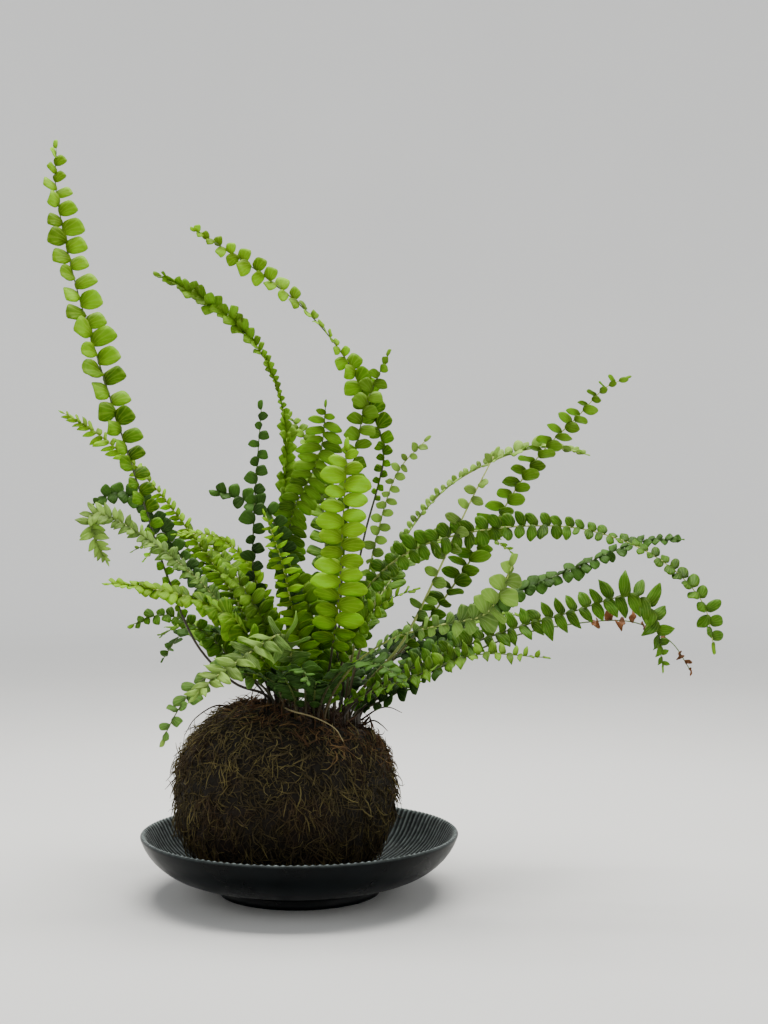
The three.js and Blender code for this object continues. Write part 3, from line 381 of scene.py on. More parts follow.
# Leaflet kinds. low and high are the depths of the lower and the upper half, ear and blunt how
# square the upper inner corner and the outer end are, cut how much of the lower inner corner is
# gone, point how far the outer end narrows and scallop the depth of the rounds on the edge. Each
# cup makes one variant, bent down along its length (droop), across it (dish) and along its edge
# (ruffle).
LEAFLET_KINDS = {
    "fan": dict(low=0.46, high=1.22, ear=2.4, blunt=2.7, cut=1.7, point=0.0, scallop=0.03,
                cups=[(0.10, -0.22, 0.04), (0.16, -0.10, -0.05), (0.04, 0.16, 0.04), (0.20, -0.28, 0.03)]),
    "oval": dict(low=0.8, high=1.06, ear=2.2, blunt=2.2, cut=1.3, point=0.10, scallop=0.028,
                 cups=[(0.12, -0.20, 0.03), (0.18, 0.10, -0.04), (0.05, -0.12, 0.05), (0.22, -0.26, 0.03)]),
    "pointed": dict(low=0.62, high=1.14, ear=2.8, blunt=2.0, cut=1.6, point=0.55, scallop=0.035,
                    cups=[(0.14, -0.20, 0.05), (0.20, 0.12, -0.05), (0.06, -0.14, 0.05)]),
    "narrow": dict(low=0.7, high=1.05, ear=2.6, blunt=2.1, cut=1.4, point=0.42, scallop=0.035,
                   cups=[(0.14, -0.18, 0.04), (0.20, 0.10, -0.05), (0.08, -0.10, 0.05)]),
    "crumpled": dict(low=0.8, high=1.0, ear=2.2, blunt=2.0, cut=1.4, point=0.2, scallop=0.10,
                     cups=[(0.45, 0.60, 0.2), (0.60, -0.55, -0.2), (0.30, 0.80, 0.25)]),
}


# Selecting and modelling

def pick(*objects):
    """Selects only these objects, and makes the first the active one."""
    bpy.ops.object.select_all(action="DESELECT")
    for piece in objects:
        piece.select_set(True)
    bpy.context.view_layer.objects.active = objects[0]


def applied(piece, kind, **settings):
    """Adds a modifier with these settings and applies it."""
    pick(piece)
    modifier = piece.modifiers.new(kind.lower(), kind)
    for name, value in settings.items():
        setattr(modifier, name, value)
    bpy.ops.object.modifier_apply(modifier=modifier.name)
    return piece


def joined(pieces, name):
    """Joins the pieces into the first of them, and names it."""
    pick(*pieces)
    if len(pieces) > 1:
        bpy.ops.object.join()
    whole = bpy.context.view_layer.objects.active
    whole.name = name
    whole.data.name = name
    return whole


def placed(name, data):
    """A new object that shows this mesh, curve, light or camera."""
    made = bpy.data.objects.new(name, data)
    bpy.context.collection.objects.link(made)
    return made


def copy_of(original, matrix):
    """A copy with its own mesh, moved by a matrix."""
    made = original.copy()
    made.data = original.data.copy()
    made.data.transform(matrix)
    if matrix.determinant() < 0:
        made.data.flip_normals()
    bpy.context.collection.objects.link(made)
    return made


def axes_matrix(across, along, up, place):
    """Turns X, Y and Z into these three directions, and moves the origin to a place."""
    turned = Matrix((across, along, up)).transposed().to_4x4()
    turned.translation = place
    return turned


def dressed(piece, *materials):
    """Gives a piece its materials and smooth shading."""
    piece.data.materials.clear()
    for material in materials:
        piece.data.materials.append(material)
    piece.data.polygons.foreach_set("use_smooth", [True] * len(piece.data.polygons))
    piece.hide_render = False


def set_values(mesh, name, values):
    """Writes a number for each vertex, or one number for them all."""
    if not isinstance(values, list):
        values = [values] * len(mesh.vertices)
    attribute = mesh.attributes.get(name) or mesh.attributes.new(name, "FLOAT", "POINT")
    attribute.data.foreach_set("value", values)


def get_values(mesh, name):
    values = [0.0] * len(mesh.vertices)
    mesh.attributes[name].data.foreach_get("value", values)
    return values


def clamp(value, low=0.0, high=1.0):
    return max(low, min(high, value))


def ease(value, low, high):
    """0 below low, 1 above high and smooth between them."""
    share = clamp((value - low) / (high - low))
    return share * share * (3 - 2 * share)


def scattered(draw, spread):
    """A small random offset."""
    return Vector([draw.gauss(0, spread) for _ in range(3)])


def curve_points(points, steps):
    """One smooth curve through all the points, as a fine line."""
    line = [points[0]]
    for k in range(len(points) - 1):
        start, end = points[k], points[k + 1]
        before = points[k - 1] if k > 0 else 2 * start - end
        after = points[k + 2] if k + 2 < len(points) else 2 * end - start
        lean_in, lean_out = (end - before) / 2, (after - start) / 2
        for step in range(1, steps + 1):
            t = step / steps
            line.append((2 * t**3 - 3 * t**2 + 1) * start + (t**3 - 2 * t**2 + t) * lean_in
                        + (3 * t**2 - 2 * t**3) * end + (t**3 - t**2) * lean_out)
    return line


def tube(name, lines, sides, radii):
    """Round tubes along lines of points, closed at both ends, tapering by the radii given for
    each line. The mesh keeps each point's ring of vertices in order."""
    ring = bpy.data.curves.new(name + "_ring", "CURVE")
    ring_spline = ring.splines.new("POLY")
    ring_spline.points.add(sides - 1)
    for i, point in enumerate(ring_spline.points):
        angle = 2 * math.pi * i / sides
        point.co = (math.cos(angle), math.sin(angle), 0, 1)
    ring_spline.use_cyclic_u = True
    ring_object = placed(name + "_ring", ring)

    curve = bpy.data.curves.new(name, "CURVE")
    curve.dimensions = "3D"
    curve.bevel_mode = "OBJECT"
    curve.bevel_object = ring_object
    for line, line_radii in zip(lines, radii):
        spline = curve.splines.new("POLY")
        spline.points.add(len(line) - 1)
        for point, place, radius in zip(spline.points, line, line_radii):
            point.co = (*place, 1)
            point.radius = radius
    pick(placed(name, curve))
    bpy.ops.object.convert(target="MESH")
    bpy.data.objects.remove(ring_object)
    bpy.ops.object.mode_set(mode="EDIT")
    bpy.ops.mesh.select_all(action="SELECT")
    bpy.ops.mesh.fill_holes(sides=sides)
    bpy.ops.mesh.select_all(action="SELECT")
    bpy.ops.mesh.normals_make_consistent(inside=False)
    bpy.ops.object.mode_set(mode="OBJECT")
    return bpy.context.view_layer.objects.active


def spun(name, profile, columns):
    """A half section in the XZ plane, spun round Z."""
    mesh = bpy.data.meshes.new(name)
    mesh.from_pydata([tuple(p) for p in profile], [(i, i + 1) for i in range(len(profile) - 1)], [])
    return applied(placed(name, mesh), "SCREW", steps=columns, render_steps=columns, angle=2 * math.pi,
                   axis="Z", use_merge_vertices=True, merge_threshold=MERGE_DISTANCE)


# Surfaces of the ball, the soil and the dish

def ball_reach(way, inset):
    """How far the ball's surface is from its middle in a direction."""
    across = math.hypot(way.x, way.y) / (BALL_RADIUS - inset)
    up = abs(way.z) / (BALL_HALF_HEIGHT - inset)
    return (across**BALL_SQUARENESS + up**BALL_SQUARENESS) ** (-1 / BALL_SQUARENESS)


def inside_ball(place):
    off = place - BALL_CENTRE
    return off.length < ball_reach(off.normalized(), -BLADE_KEEP_OUT)


def ball_top(x, y, inset):
    share = clamp(math.hypot(x - BALL_CENTRE.x, y) / (BALL_RADIUS - inset))
    rise = (1 - share**BALL_SQUARENESS) ** (1 / BALL_SQUARENESS)
    return BALL_CENTRE.z + (BALL_HALF_HEIGHT - inset) * rise


def ball_front(x, z, lift):
    """The point on the front of the ball at x and z, lifted off it, all in millimetres."""
    x, z, lift = x * MM, z * MM, lift * MM
    up = abs(z - BALL_CENTRE.z) / BALL_HALF_HEIGHT
    across = BALL_RADIUS * (1 - up**BALL_SQUARENESS) ** (1 / BALL_SQUARENESS)
    depth = math.sqrt(max(0, across**2 - (x - BALL_CENTRE.x) ** 2))
    place = Vector((x, -depth, z))
    return place + (place - BALL_CENTRE).normalized() * lift


def off_crown(x, y):
    """How far a point is from the middle of the crown, seen from above."""
    return math.hypot(x - CROWN_X, y)


def in_crown(draw, radius):
    """A random place in the crown, seen from above."""
    angle, off = draw.uniform(0, 2 * math.pi), radius * math.sqrt(draw.random())
    return CROWN_X + off * math.cos(angle), off * math.sin(angle)


def soil_top(x, y):
    from_crown = clamp(off_crown(x, y) / CROWN_RADIUS)
    mound = MOUND_FOOT + MOUND_RISE * math.sqrt(1 - from_crown**2)
    return max(ball_top(x, y, SOIL_INSET), mound)


DISH_FLOOR_LINE = curve_points([Vector(p) * MM for p in reversed(DISH_INSIDE)], DISH_FLOOR_STEPS)


def dish_floor(x, y):
    """Height of the dish's inside under a point."""
    radius = math.hypot(x, y)
    for near, far in zip(DISH_FLOOR_LINE, DISH_FLOOR_LINE[1:]):
        if far.x >= radius:
            share = (radius - near.x) / max(far.x - near.x, LEAST_STEP)
            return near.y + (far.y - near.y) * share
    return 0.0


# Materials

# Each bump is a strength and a distance in metres
VEIN_WAVES = 19.0
VEIN_SHOW = 0.22
LEAF_SPECULAR = 0.17
LEAF_BUMP = (0.35, 0.0004)
FIBRE_SPECULAR = 0.2
FIBRE_BUMP = (0.5, 0.0003)
RIB_BUMP = (0.4, 0.0002)
SOIL_BUMP = (0.9, 0.0008)
GLAZE_BUMP = (0.04, 0.0004)
WALL_GLOW = 0.38
WALL_GLOW_START = 0.5
WALL_GLOW_FULL = 2.0


def rgb(red, green, blue):
    """A colour written as it looks on a screen, from 0 to 255, in linear light."""
    def linear(value):
        share = value / 255
        return share / 12.92 if share <= 0.04045 else ((share + 0.055) / 1.055) ** 2.4
    return (linear(red), linear(green), linear(blue), 1.0)


class Shader:
    """The node tree of a material or a group, with a short way to add each kind of node."""

    def __init__(self, tree):
        self.tree = tree

    def feed(self, socket, value):
        """Links another node's output to a socket, or sets the socket's value."""
        if isinstance(value, bpy.types.NodeSocket):
            self.tree.links.new(value, socket)
        else:
            socket.default_value = value

    def add(self, kind, settings=None, **inputs):
        """Adds a node. Its inputs are named with _ for a space."""
        made = self.tree.nodes.new("ShaderNode" + kind)
        for name, value in (settings or {}).items():
            setattr(made, name, value)
        for name, value in inputs.items():
            self.feed(made.inputs[name.replace("_", " ")], value)
        return made

    def place(self):
        return self.add("TexCoord").outputs["Object"]

    def attribute(self, name):
        return self.add("Attribute", {"attribute_name": name}).outputs["Fac"]

    def math(self, operation, *values):
        made = self.add("Math", {"operation": operation})
        for socket, value in zip(made.inputs, values):
            self.feed(socket, value)
        return made.outputs[0]

    def plus(self, first, second):
        return self.math("ADD", first, second)

    def minus(self, first, second):
        return self.math("SUBTRACT", first, second)

    def times(self, first, second):
        return self.math("MULTIPLY", first, second)

    def mapped(self, value, from_low, from_high, to_low=0.0, to_high=1.0):
        """Eases a value from one range into another."""
        made = self.add("MapRange", {"interpolation_type": "SMOOTHSTEP"}, Value=value,
                        From_Min=from_low, From_Max=from_high, To_Min=to_low, To_Max=to_high)
        return made.outputs[0]

    def noise(self, place, scale, detail=3.0, roughness=0.55):
        made = self.add("TexNoise", Vector=place, Scale=scale, Detail=detail, Roughness=roughness)
        return made.outputs[0]

    def mixed(self, factor, first, second, blend="MIX"):
        made = self.add("Mix", {"data_type": "RGBA", "blend_type": blend})
        for index, value in ((0, factor), (6, first), (7, second)):
            self.feed(made.inputs[index], value)
        return made.outputs[2]

    def ramped(self, factor, *stops):
        """A colour ramp with stops of (place, colour)."""
        made = self.add("ValToRGB", Fac=factor)
        elements = made.color_ramp.elements
        while len(elements) < len(stops):
            elements.new(0.5)
        for element, (place, color) in zip(elements, stops):
            element.position = place
            element.color = color
        return made.outputs[0]

    def group(self, name, **inputs):
        """Places a pattern group and returns what it puts out."""
        return self.add("Group", {"node_tree": bpy.data.node_groups[name]}, **inputs).outputs

    def bumped(self, height, bump, **inputs):
        """The surface's shader, with a bump of a strength and a distance."""
        strength, distance = bump
        normal = self.add("Bump", Height=height, Strength=strength, Distance=distance).outputs[0]
        return self.add("BsdfPrincipled", Normal=normal, **inputs)

    def finish(self, surface):
        self.add("OutputMaterial", Surface=surface.outputs[0])


def new_material(name):
    material = bpy.data.materials.new(name)
    material.use_nodes = True
    material.node_tree.nodes.clear()
    return material, Shader(material.node_tree)


def pattern_group(name, colors, numbers=()):
    """A new node group that takes colours and numbers, and gives colour, roughness and height."""
    tree = bpy.data.node_groups.new(name, "ShaderNodeTree")
    sockets = [("INPUT", color, "Color") for color in colors]
    sockets += [("INPUT", number, "Float") for number in numbers]
    sockets += [("OUTPUT", "Color", "Color")]
    sockets += [("OUTPUT", number, "Float") for number in ("Roughness", "Height")]
    for side, socket_name, kind in sockets:
        tree.interface.new_socket(socket_name, in_out=side, socket_type="NodeSocket" + kind)
    given, result = tree.nodes.new("NodeGroupInput"), tree.nodes.new("NodeGroupOutput")
    return Shader(tree), given.outputs, result.inputs


def leaf_pattern_group():
    """Green of a leaflet: veins from its base, mottling, a paler edge, age along the frond, and painted
    shade towards its base and upper inner corner.
    """
    shader, given, result = pattern_group(
        "leaf_pattern", ("Green", "Young Green", "Vein", "Blemish"), ("Blemish Share",))
    place, tint, reach = shader.place(), shader.attribute("tint"), shader.attribute("reach")
    blade = shader.add("UVMap", {"uv_map": "blade"}).outputs[0]
    split = shader.add("SeparateXYZ", Vector=blade).outputs
    outward, upward = split[0], shader.minus(split[1], 0.5)

    fan = shader.math("ARCTAN2", upward, shader.plus(outward, 0.06))
    waves = shader.math("SINE", shader.times(fan, VEIN_WAVES))
    veins = shader.times(shader.mapped(waves, 0.35, 1.0), shader.mapped(outward, 0.0, 0.2))

    mottle = shader.noise(place, 320.0)
    broad = shader.noise(place, 60.0, 2.0)
    across = shader.math("ABSOLUTE", upward)
    from_middle = shader.math("ABSOLUTE", shader.minus(outward, 0.5))
    edge = shader.mapped(shader.math("MAXIMUM", across, from_middle), 0.36, 0.50)
    # Painted shade: darker towards the leaflet's base and more so at its upper inner corner, where the rib
    # and the leaflet above would shade it.
    inner = shader.mapped(shader.minus(outward, shader.times(upward, 0.5)), 0.55, 0.0)

    young = shader.mapped(shader.plus(reach, shader.times(tint, 0.25)), 0.5, 1.1)
    green = shader.mixed(young, given["Green"], given["Young Green"])
    # A random tone for each leaflet and in broad patches, times the painted shade at the base.
    tone_and_painted_shade = shader.times(shader.mapped(shader.plus(tint, broad), 0.2, 1.4, 0.55, 1.3),
                           shader.minus(1.0, shader.times(inner, 0.5)))
    shade = shader.add("CombineColor", Red=tone_and_painted_shade, Green=tone_and_painted_shade, Blue=tone_and_painted_shade).outputs[0]
    green = shader.mixed(1.0, green, shade, "MULTIPLY")
    mottled = shader.times(shader.mapped(mottle, 0.35, 0.75), 0.25)
    green = shader.mixed(mottled, green, given["Young Green"])
    green = shader.mixed(shader.times(veins, VEIN_SHOW), green, given["Vein"])
    green = shader.mixed(shader.times(edge, VEIN_SHOW), green, given["Vein"])

    share = given["Blemish Share"]
    spots = shader.times(shader.mapped(shader.noise(place, 140.0, 4.0), 0.62, 0.72), share)
    withered = shader.times(shader.mapped(tint, 0.983, 0.99), shader.mapped(share, 0.16, 0.19))
    spots = shader.math("MAXIMUM", spots, withered)
    shader.feed(result["Color"], shader.mixed(spots, green, given["Blemish"]))
    shader.feed(result["Roughness"], shader.mapped(mottle, 0.3, 0.8, 0.5, 0.68))
    shader.feed(result["Height"], shader.minus(shader.times(mottle, 0.5), shader.times(veins, 0.6)))


def leaf_material(name, green, young, vein, blemish, blemish_share, glow):
    """A thin leaf. glow is the share of the light that passes through it."""
    material, shader = new_material(name)
    pattern = shader.group("leaf_pattern", Green=green, Young_Green=young, Vein=vein, Blemish=blemish,
                           Blemish_Share=blemish_share)
    surface = shader.bumped(pattern["Height"], LEAF_BUMP, Base_Color=pattern["Color"],
                            Roughness=pattern["Roughness"], Specular_IOR_Level=LEAF_SPECULAR)
    through = shader.add("BsdfTranslucent", Color=pattern["Color"])
    blend = shader.add("MixShader", Fac=glow)
    shader.feed(blend.inputs[1], surface.outputs[0])
    shader.feed(blend.inputs[2], through.outputs[0])
    shader.finish(blend)
    return material


def fibre_pattern_group():
    """Colour of dry fibres: by strand, paler towards each tip, in broad patches over the ball."""
    shader, given, result = pattern_group("fibre_pattern", ("Dark", "Middle", "Light", "Patch"))
    place, tint, tip = shader.place(), shader.attribute("tint"), shader.attribute("tip")
    grain = shader.noise(place, 900.0)
    patches = shader.mapped(shader.noise(place, 34.0, 4.0, 0.6), 0.48, 0.62)
    value = shader.plus(shader.times(tint, 0.62), shader.times(tip, 0.30))
    value = shader.plus(value, shader.times(grain, 0.16))
    base = shader.mixed(shader.mapped(value, 0.05, 0.55), given["Dark"], given["Middle"])
    base = shader.mixed(shader.times(patches, 0.55), base, given["Patch"])
    shader.feed(result["Color"], shader.mixed(shader.mapped(value, 0.55, 1.0), base, given["Light"]))
    shader.feed(result["Roughness"], shader.mapped(grain, 0.3, 0.7, 0.72, 0.95))
    shader.feed(result["Height"], grain)


def fibre_material(name, dark, middle, light, patch):
    material, shader = new_material(name)
    pattern = shader.group("fibre_pattern", Dark=dark, Middle=middle, Light=light, Patch=patch)
    shader.finish(shader.bumped(pattern["Height"], FIBRE_BUMP, Base_Color=pattern["Color"],
                                Roughness=pattern["Roughness"], Specular_IOR_Level=FIBRE_SPECULAR))
    return material


def rib_material(name, foot, middle, tip):
    """A frond's rib and stem: scaly at the foot, smooth above."""
    material, shader = new_material(name)
    grain = shader.noise(shader.place(), 700.0)
    along = shader.plus(shader.attribute("reach"), shader.times(grain, 0.12))
    color = shader.ramped(along, (0.0, foot), (0.25, foot), (0.45, middle), (1.0, tip))
    color = shader.mixed(shader.mapped(grain, 0.4, 0.8, 0.0, 0.4), color, foot)
    shader.finish(shader.bumped(grain, RIB_BUMP, Base_Color=color,
                                Roughness=shader.mapped(grain, 0.3, 0.7, 0.42, 0.6)))
    return material


def soil_material():
    material, shader = new_material("damp_peat")
    place = shader.place()
    crumbs = shader.add("TexVoronoi", Vector=place, Scale=520.0).outputs["Distance"]
    broad = shader.noise(place, 150.0, 6.0, 0.7)
    color = shader.ramped(broad, (0.3, rgb(18, 13, 9)), (0.55, rgb(44, 31, 21)), (0.8, rgb(74, 55, 38)))
    shader.finish(shader.bumped(shader.plus(shader.times(crumbs, 0.8), broad), SOIL_BUMP, Base_Color=color,
                                Roughness=shader.mapped(crumbs, 0.1, 0.6, 0.78, 0.95)))
    return material


def glaze_material():
    """A dark glossy glaze, paler on the ribs and the lip: partly where the glaze breaks thin there, and
    partly a painted highlight of the glints that light catches on them.
    """
    material, shader = new_material("dark_glaze")
    place = shader.place()
    pooling = shader.noise(place, 55.0, 3.0)
    fine = shader.noise(place, 1400.0, 2.0)
    body = shader.mixed(shader.mapped(pooling, 0.35, 0.7), rgb(1, 3, 4), rgb(4, 8, 10))
    glaze_break_and_glint = shader.mapped(shader.noise(place, 260.0), 0.25, 0.7, 0.4, 1.0)
    # Paler glaze on the rib crests and along the lip, part glaze break and part painted highlight.
    color = shader.mixed(shader.times(shader.attribute("crest"), glaze_break_and_glint), body, rgb(158, 170, 168))
    color = shader.mixed(shader.mapped(fine, 0.68, 0.78, 0.0, 0.2), color, rgb(36, 48, 52))
    shader.finish(shader.bumped(pooling, GLAZE_BUMP, Base_Color=color,
                                Roughness=shader.mapped(pooling, 0.3, 0.7, 0.26, 0.4),
                                Specular_IOR_Level=0.07, Coat_Roughness=0.2, Coat_Weight=0.02))
    return material


def stage_material():
    """Pale paper, which glows softly towards the wall so that the background stays even."""
    material, shader = new_material("pale_paper")
    place = shader.place()
    distance = shader.add("VectorMath", {"operation": "LENGTH"}, Vector=place).outputs["Value"]
    color = shader.mixed(shader.noise(place, 3.0), rgb(206, 206, 204), rgb(216, 216, 214))
    glow = shader.mapped(distance, WALL_GLOW_START, WALL_GLOW_FULL, 0.0, WALL_GLOW)
    shader.finish(shader.add("BsdfPrincipled", Base_Color=color, Roughness=0.8, Specular_IOR_Level=0.2,
                             Emission_Color=(1, 1, 1, 1), Emission_Strength=glow))
    material.cycles.emission_sampling = "NONE"
    return material


leaf_pattern_group()
fibre_pattern_group()
# Greens of the fronds. The bright tone's yellow-green is partly the leaves' own colour and partly painted
# light, for fronds lit from above; the darkest tone is painted shade, for fronds that sit in the shade of
# the others.
LEAF_TONES = {
    "bright": dict(green=rgb(84, 134, 12), young=rgb(146, 192, 18), vein=rgb(186, 216, 70),
                   blemish=rgb(110, 80, 30), blemish_share=0.12, glow=0.52),
    "mid": dict(green=rgb(72, 116, 20), young=rgb(122, 164, 34), vein=rgb(156, 188, 78),
                blemish=rgb(96, 66, 36), blemish_share=0.15, glow=0.44),
    "deep": dict(green=rgb(38, 66, 22), young=rgb(72, 112, 34), vein=rgb(98, 134, 62),
                 blemish=rgb(76, 52, 32), blemish_share=0.15, glow=0.38),
    "pale": dict(green=rgb(92, 134, 54), young=rgb(144, 180, 74), vein=rgb(180, 206, 116),
                 blemish=rgb(120, 96, 50), blemish_share=0.12, glow=0.42),
    "dry": dict(green=rgb(84, 50, 28), young=rgb(118, 76, 42), vein=rgb(136, 98, 58),
                blemish=rgb(50, 30, 20), blemish_share=0.6, glow=0.25),
}
LEAF_MATERIALS = {tone: leaf_material("leaf_" + tone, **looks) for tone, looks in LEAF_TONES.items()}
RIB_MATERIALS = {
    "dark": rib_material("rib_dark", rgb(44, 34, 20), rgb(50, 54, 20), rgb(88, 112, 34)),
    "pale": rib_material("rib_pale", rgb(66, 56, 28), rgb(128, 142, 62), rgb(176, 192, 92)),
}
MOSS = fibre_material("dry_moss", rgb(20, 16, 10), rgb(55, 47, 27), rgb(114, 104, 60), rgb(57, 41, 26))
RED_MOSS = fibre_material("reddish_moss", rgb(24, 17, 11), rgb(66, 47, 28), rgb(120, 94, 58),
                          rgb(76, 46, 28))
FELT = fibre_material("moss_felt", rgb(11, 9, 6), rgb(25, 20, 12), rgb(48, 41, 24), rgb(30, 20, 13))
ROOT_FIBRE = fibre_material("root_fibre", rgb(18, 12, 8), rgb(40, 27, 17), rgb(84, 62, 40),
                            rgb(44, 26, 16))
RUNNER = fibre_material("pale_runner", rgb(96, 88, 62), rgb(132, 122, 88), rgb(170, 160, 120),
                        rgb(110, 96, 66))
PEAT = soil_material()
GLAZE = glaze_material()
PAPER = stage_material()


# Leaflets

OUTLINE_POINTS = 20
OUTLINE_LOBES = 5
INNER_RING_STEP = 0.19
LEAFLET_MIDDLE_UP = 0.08


def leaflet_edge(form, turn):
    """A point of the outline at an angle round the leaflet's middle, 0 at its outer end."""
    over, up = math.cos(turn), math.sin(turn)
    square = 2 / form["blunt"] if over > 0 else 2 / form["ear"] if up > 0 else 1.0
    corner = form["cut"] if over < 0 and up < 0 else square
    out = 0.5 + 0.5 * math.copysign(abs(over) ** square, over)
    wide = 0.5 * math.copysign(abs(up) ** corner, up) * form["high" if up > 0 else "low"]
    return out, wide * (1 - form["point"] * out**2)


def leaflet(kind, variant, droop, dish, ruffle):
    """A leaflet one long and one wide, growing along +X from the origin, with the frond's tip
    towards +Y and its upper face up. Its base is at its lower inner corner."""
    form = LEAFLET_KINDS[kind]
    bpy.ops.mesh.primitive_circle_add(vertices=OUTLINE_POINTS, radius=0.5, fill_type="NGON")
    blade = bpy.context.object
    blade.name = f"leaflet_{kind}_{variant}"
    bpy.ops.object.mode_set(mode="EDIT")
    bpy.ops.mesh.select_all(action="SELECT")
    bpy.ops.mesh.inset(thickness=INNER_RING_STEP, depth=0)
    bpy.ops.mesh.poke()
    bpy.ops.object.mode_set(mode="OBJECT")

    layer = blade.data.uv_layers.new(name="blade")
    for loop in blade.data.loops:
        place = blade.data.vertices[loop.vertex_index].co
        layer.data[loop.index].uv = (place.x + 0.5, place.y + 0.5)

    middle = Vector((0.5, LEAFLET_MIDDLE_UP))
    for vertex in blade.data.vertices:
        share = math.hypot(vertex.co.x, vertex.co.y) / 0.5
        turn = math.atan2(vertex.co.y, vertex.co.x)
        edge = Vector(leaflet_edge(form, turn))
        outer_side = ease(math.cos(turn - 0.7), -0.45, 0.1)
        reach = 1 + form["scallop"] * math.cos(turn * OUTLINE_LOBES + 0.6) * outer_side
        out, wide = middle + (edge - middle) * share * reach
        wave = ruffle * math.sin(3 * turn + variant * 1.7) * share**2
        rise = dish * (wide - LEAFLET_MIDDLE_UP) ** 2 * 2 - droop * max(out, 0) ** 2 + wave
        vertex.co = (out, wide, rise)
    blade.hide_render = True
    return blade


LEAFLETS = {
    kind: [leaflet(kind, variant, *cup) for variant, cup in enumerate(form["cups"])]
    for kind, form in LEAFLET_KINDS.items()
}


# Fronds

LIFT_SPREAD = 8
SWEEP_SPREAD = 6
ROLL_SPREAD = 10
CLOSING_LIFT = 14
CLOSING_SWEEP = 30
LEAFLET_SIZES = (0.88, 1.1)
LEAFLET_LENGTHS = (0.9, 1.12)
PITCH_SIZES = (0.9, 1.1)
BARE_TIP = 1.5 * MM
TIP_NARROWING = 0.6
TIP_TINT = 0.8
YOUNG_SHARES = (0.35, 0.7, 1.0)
YOUNG_FOOT_RING = (15, 23)
YOUNG_REACH = (16, 34)
YOUNG_RISE = (12, 34)


class Rib:
    """The line of a frond's stem and rib, with the directions at each length along it."""

    def __init__(self, frond):
        x, y = (v * MM for v in frond["root"])
        way_out = Vector((x, y, soil_top(x, y) + STEM_CLEAR_OF_SOIL))
        through = [Vector(p) * MM for p in frond["through"]]
        below = way_out - Vector((0, 0, (way_out - through[0]).length))
        fine = curve_points([below, way_out, *through], CURVE_STEPS)[CURVE_STEPS:]
        self.line = [Vector((x, y, STEM_FOOT)), *fine]
        self.facing = [Vector(f) for f in frond["facing"]]
        self.lengths = [0.0]
        for here, there in zip(self.line, self.line[1:]):
            self.lengths.append(self.lengths[-1] + (there - here).length)
        self.total = self.lengths[-1]
        self.stem_end = self.lengths[1]

    def at(self, length):
        """Place, along, side and face at a length."""
        i = next((k for k, l in enumerate(self.lengths) if l >= length), len(self.lengths) - 1)
        i = max(i, 1)
        share = (length - self.lengths[i - 1]) / (self.lengths[i] - self.lengths[i - 1])
        place = self.line[i - 1].lerp(self.line[i], share)
        before, after = self.line[max(i - 2, 0)], self.line[min(i + 1, len(self.line) - 1)]
        along = (after - before).normalized()
        turn = clamp(length / self.total) * (len(self.facing) - 1)
        step = min(int(turn), len(self.facing) - 2)
        face = self.facing[step].lerp(self.facing[step + 1], turn - step)
        face = (face - along * face.dot(along)).normalized()
        return place, along, along.cross(face), face


def grown(growth, share):
    """Size of the leaflets at a share of the leafy length."""
    for (near, small), (far, large) in zip(growth, growth[1:]):
        if share <= far:
            return small + (large - small) * clamp((share - near) / (far - near))
    return growth[-1][1]


def leaflet_matrix(rib, frond, at, hand, scale, share, draw):
    """Where a leaflet sits: folded up from the frond's plane and leaning towards its tip, each a
    little different, and the last ones closing up."""
    place, along, side, face = rib.at(at)
    which = 0 if hand < 0 else 1
    closing = ease(share, CLOSING_FROM, 1.0)
    unruly = frond["unruly"]
    length, width = (v * MM * scale for v in frond["size"])
    fold, lean = frond["fold"][which], frond["sweep"][which]
    lift = math.radians(fold + unruly * draw.gauss(0, LIFT_SPREAD) + CLOSING_LIFT * closing)
    sweep = math.radians(lean + unruly * draw.gauss(0, SWEEP_SPREAD) + CLOSING_SWEEP * closing)
    roll = math.radians(frond["roll"] + unruly * draw.gauss(0, ROLL_SPREAD))
    out = side * hand
    out = out * math.cos(lift) + face * math.sin(lift)
    out = out * math.cos(sweep) + along * math.sin(sweep)
    on = (along - out * along.dot(out)).normalized()
    up = out.cross(on) * hand
    on, up = on * math.cos(roll) + up * math.sin(roll), up * math.cos(roll) - on * math.sin(roll)
    start = place + up * RIB_TIP_RADIUS - out * length * FOOT_OVERLAP
    length *= draw.uniform(*LEAFLET_LENGTHS)
    return axes_matrix(out * length, on * width * draw.uniform(*LEAFLET_SIZES), up * length, start)


def tip_matrix(rib, frond):
    """The small leaflet at the end of a frond, growing straight on from its rib."""
    place, along, _, face = rib.at(rib.total)
    length, width = (v * MM * frond["growth"][-1][1] for v in frond["size"])
    return axes_matrix(along * length, face.cross(along) * width * TIP_NARROWING, face * length,
                       place - along * RIB_TIP_RADIUS)


def tinted_blade(frond, variant, matrix, tint, reach):
    """A copy of a frond's leaflet with its own tint, and its reach along the frond."""
    blade = copy_of(LEAFLETS[frond["leaf"]][variant], matrix)
    set_values(blade.data, "tint", tint)
    set_values(blade.data, "reach", reach)
    return blade


def frond_rib(name, frond, rib):
    shares = [length / rib.total for length in rib.lengths]
    radii = [frond["stem"] * (RIB_FOOT_RADIUS + (RIB_TIP_RADIUS - RIB_FOOT_RADIUS) * share**0.8)
             for share in shares]
    piece = tube(name + "_rib", [rib.line], RIB_SIDES, [radii])
    mesh = piece.data
    last = len(rib.line) - 1
    set_values(mesh, "reach", [shares[min(i // RIB_SIDES, last)] for i in range(len(mesh.vertices))])
    set_values(mesh, "tint", 0.5)
    dressed(piece, LEAF_MATERIALS[frond["tone"]], RIB_MATERIALS[frond["rib"]])
    mesh.polygons.foreach_set("material_index", [1] * len(mesh.polygons))
    return piece


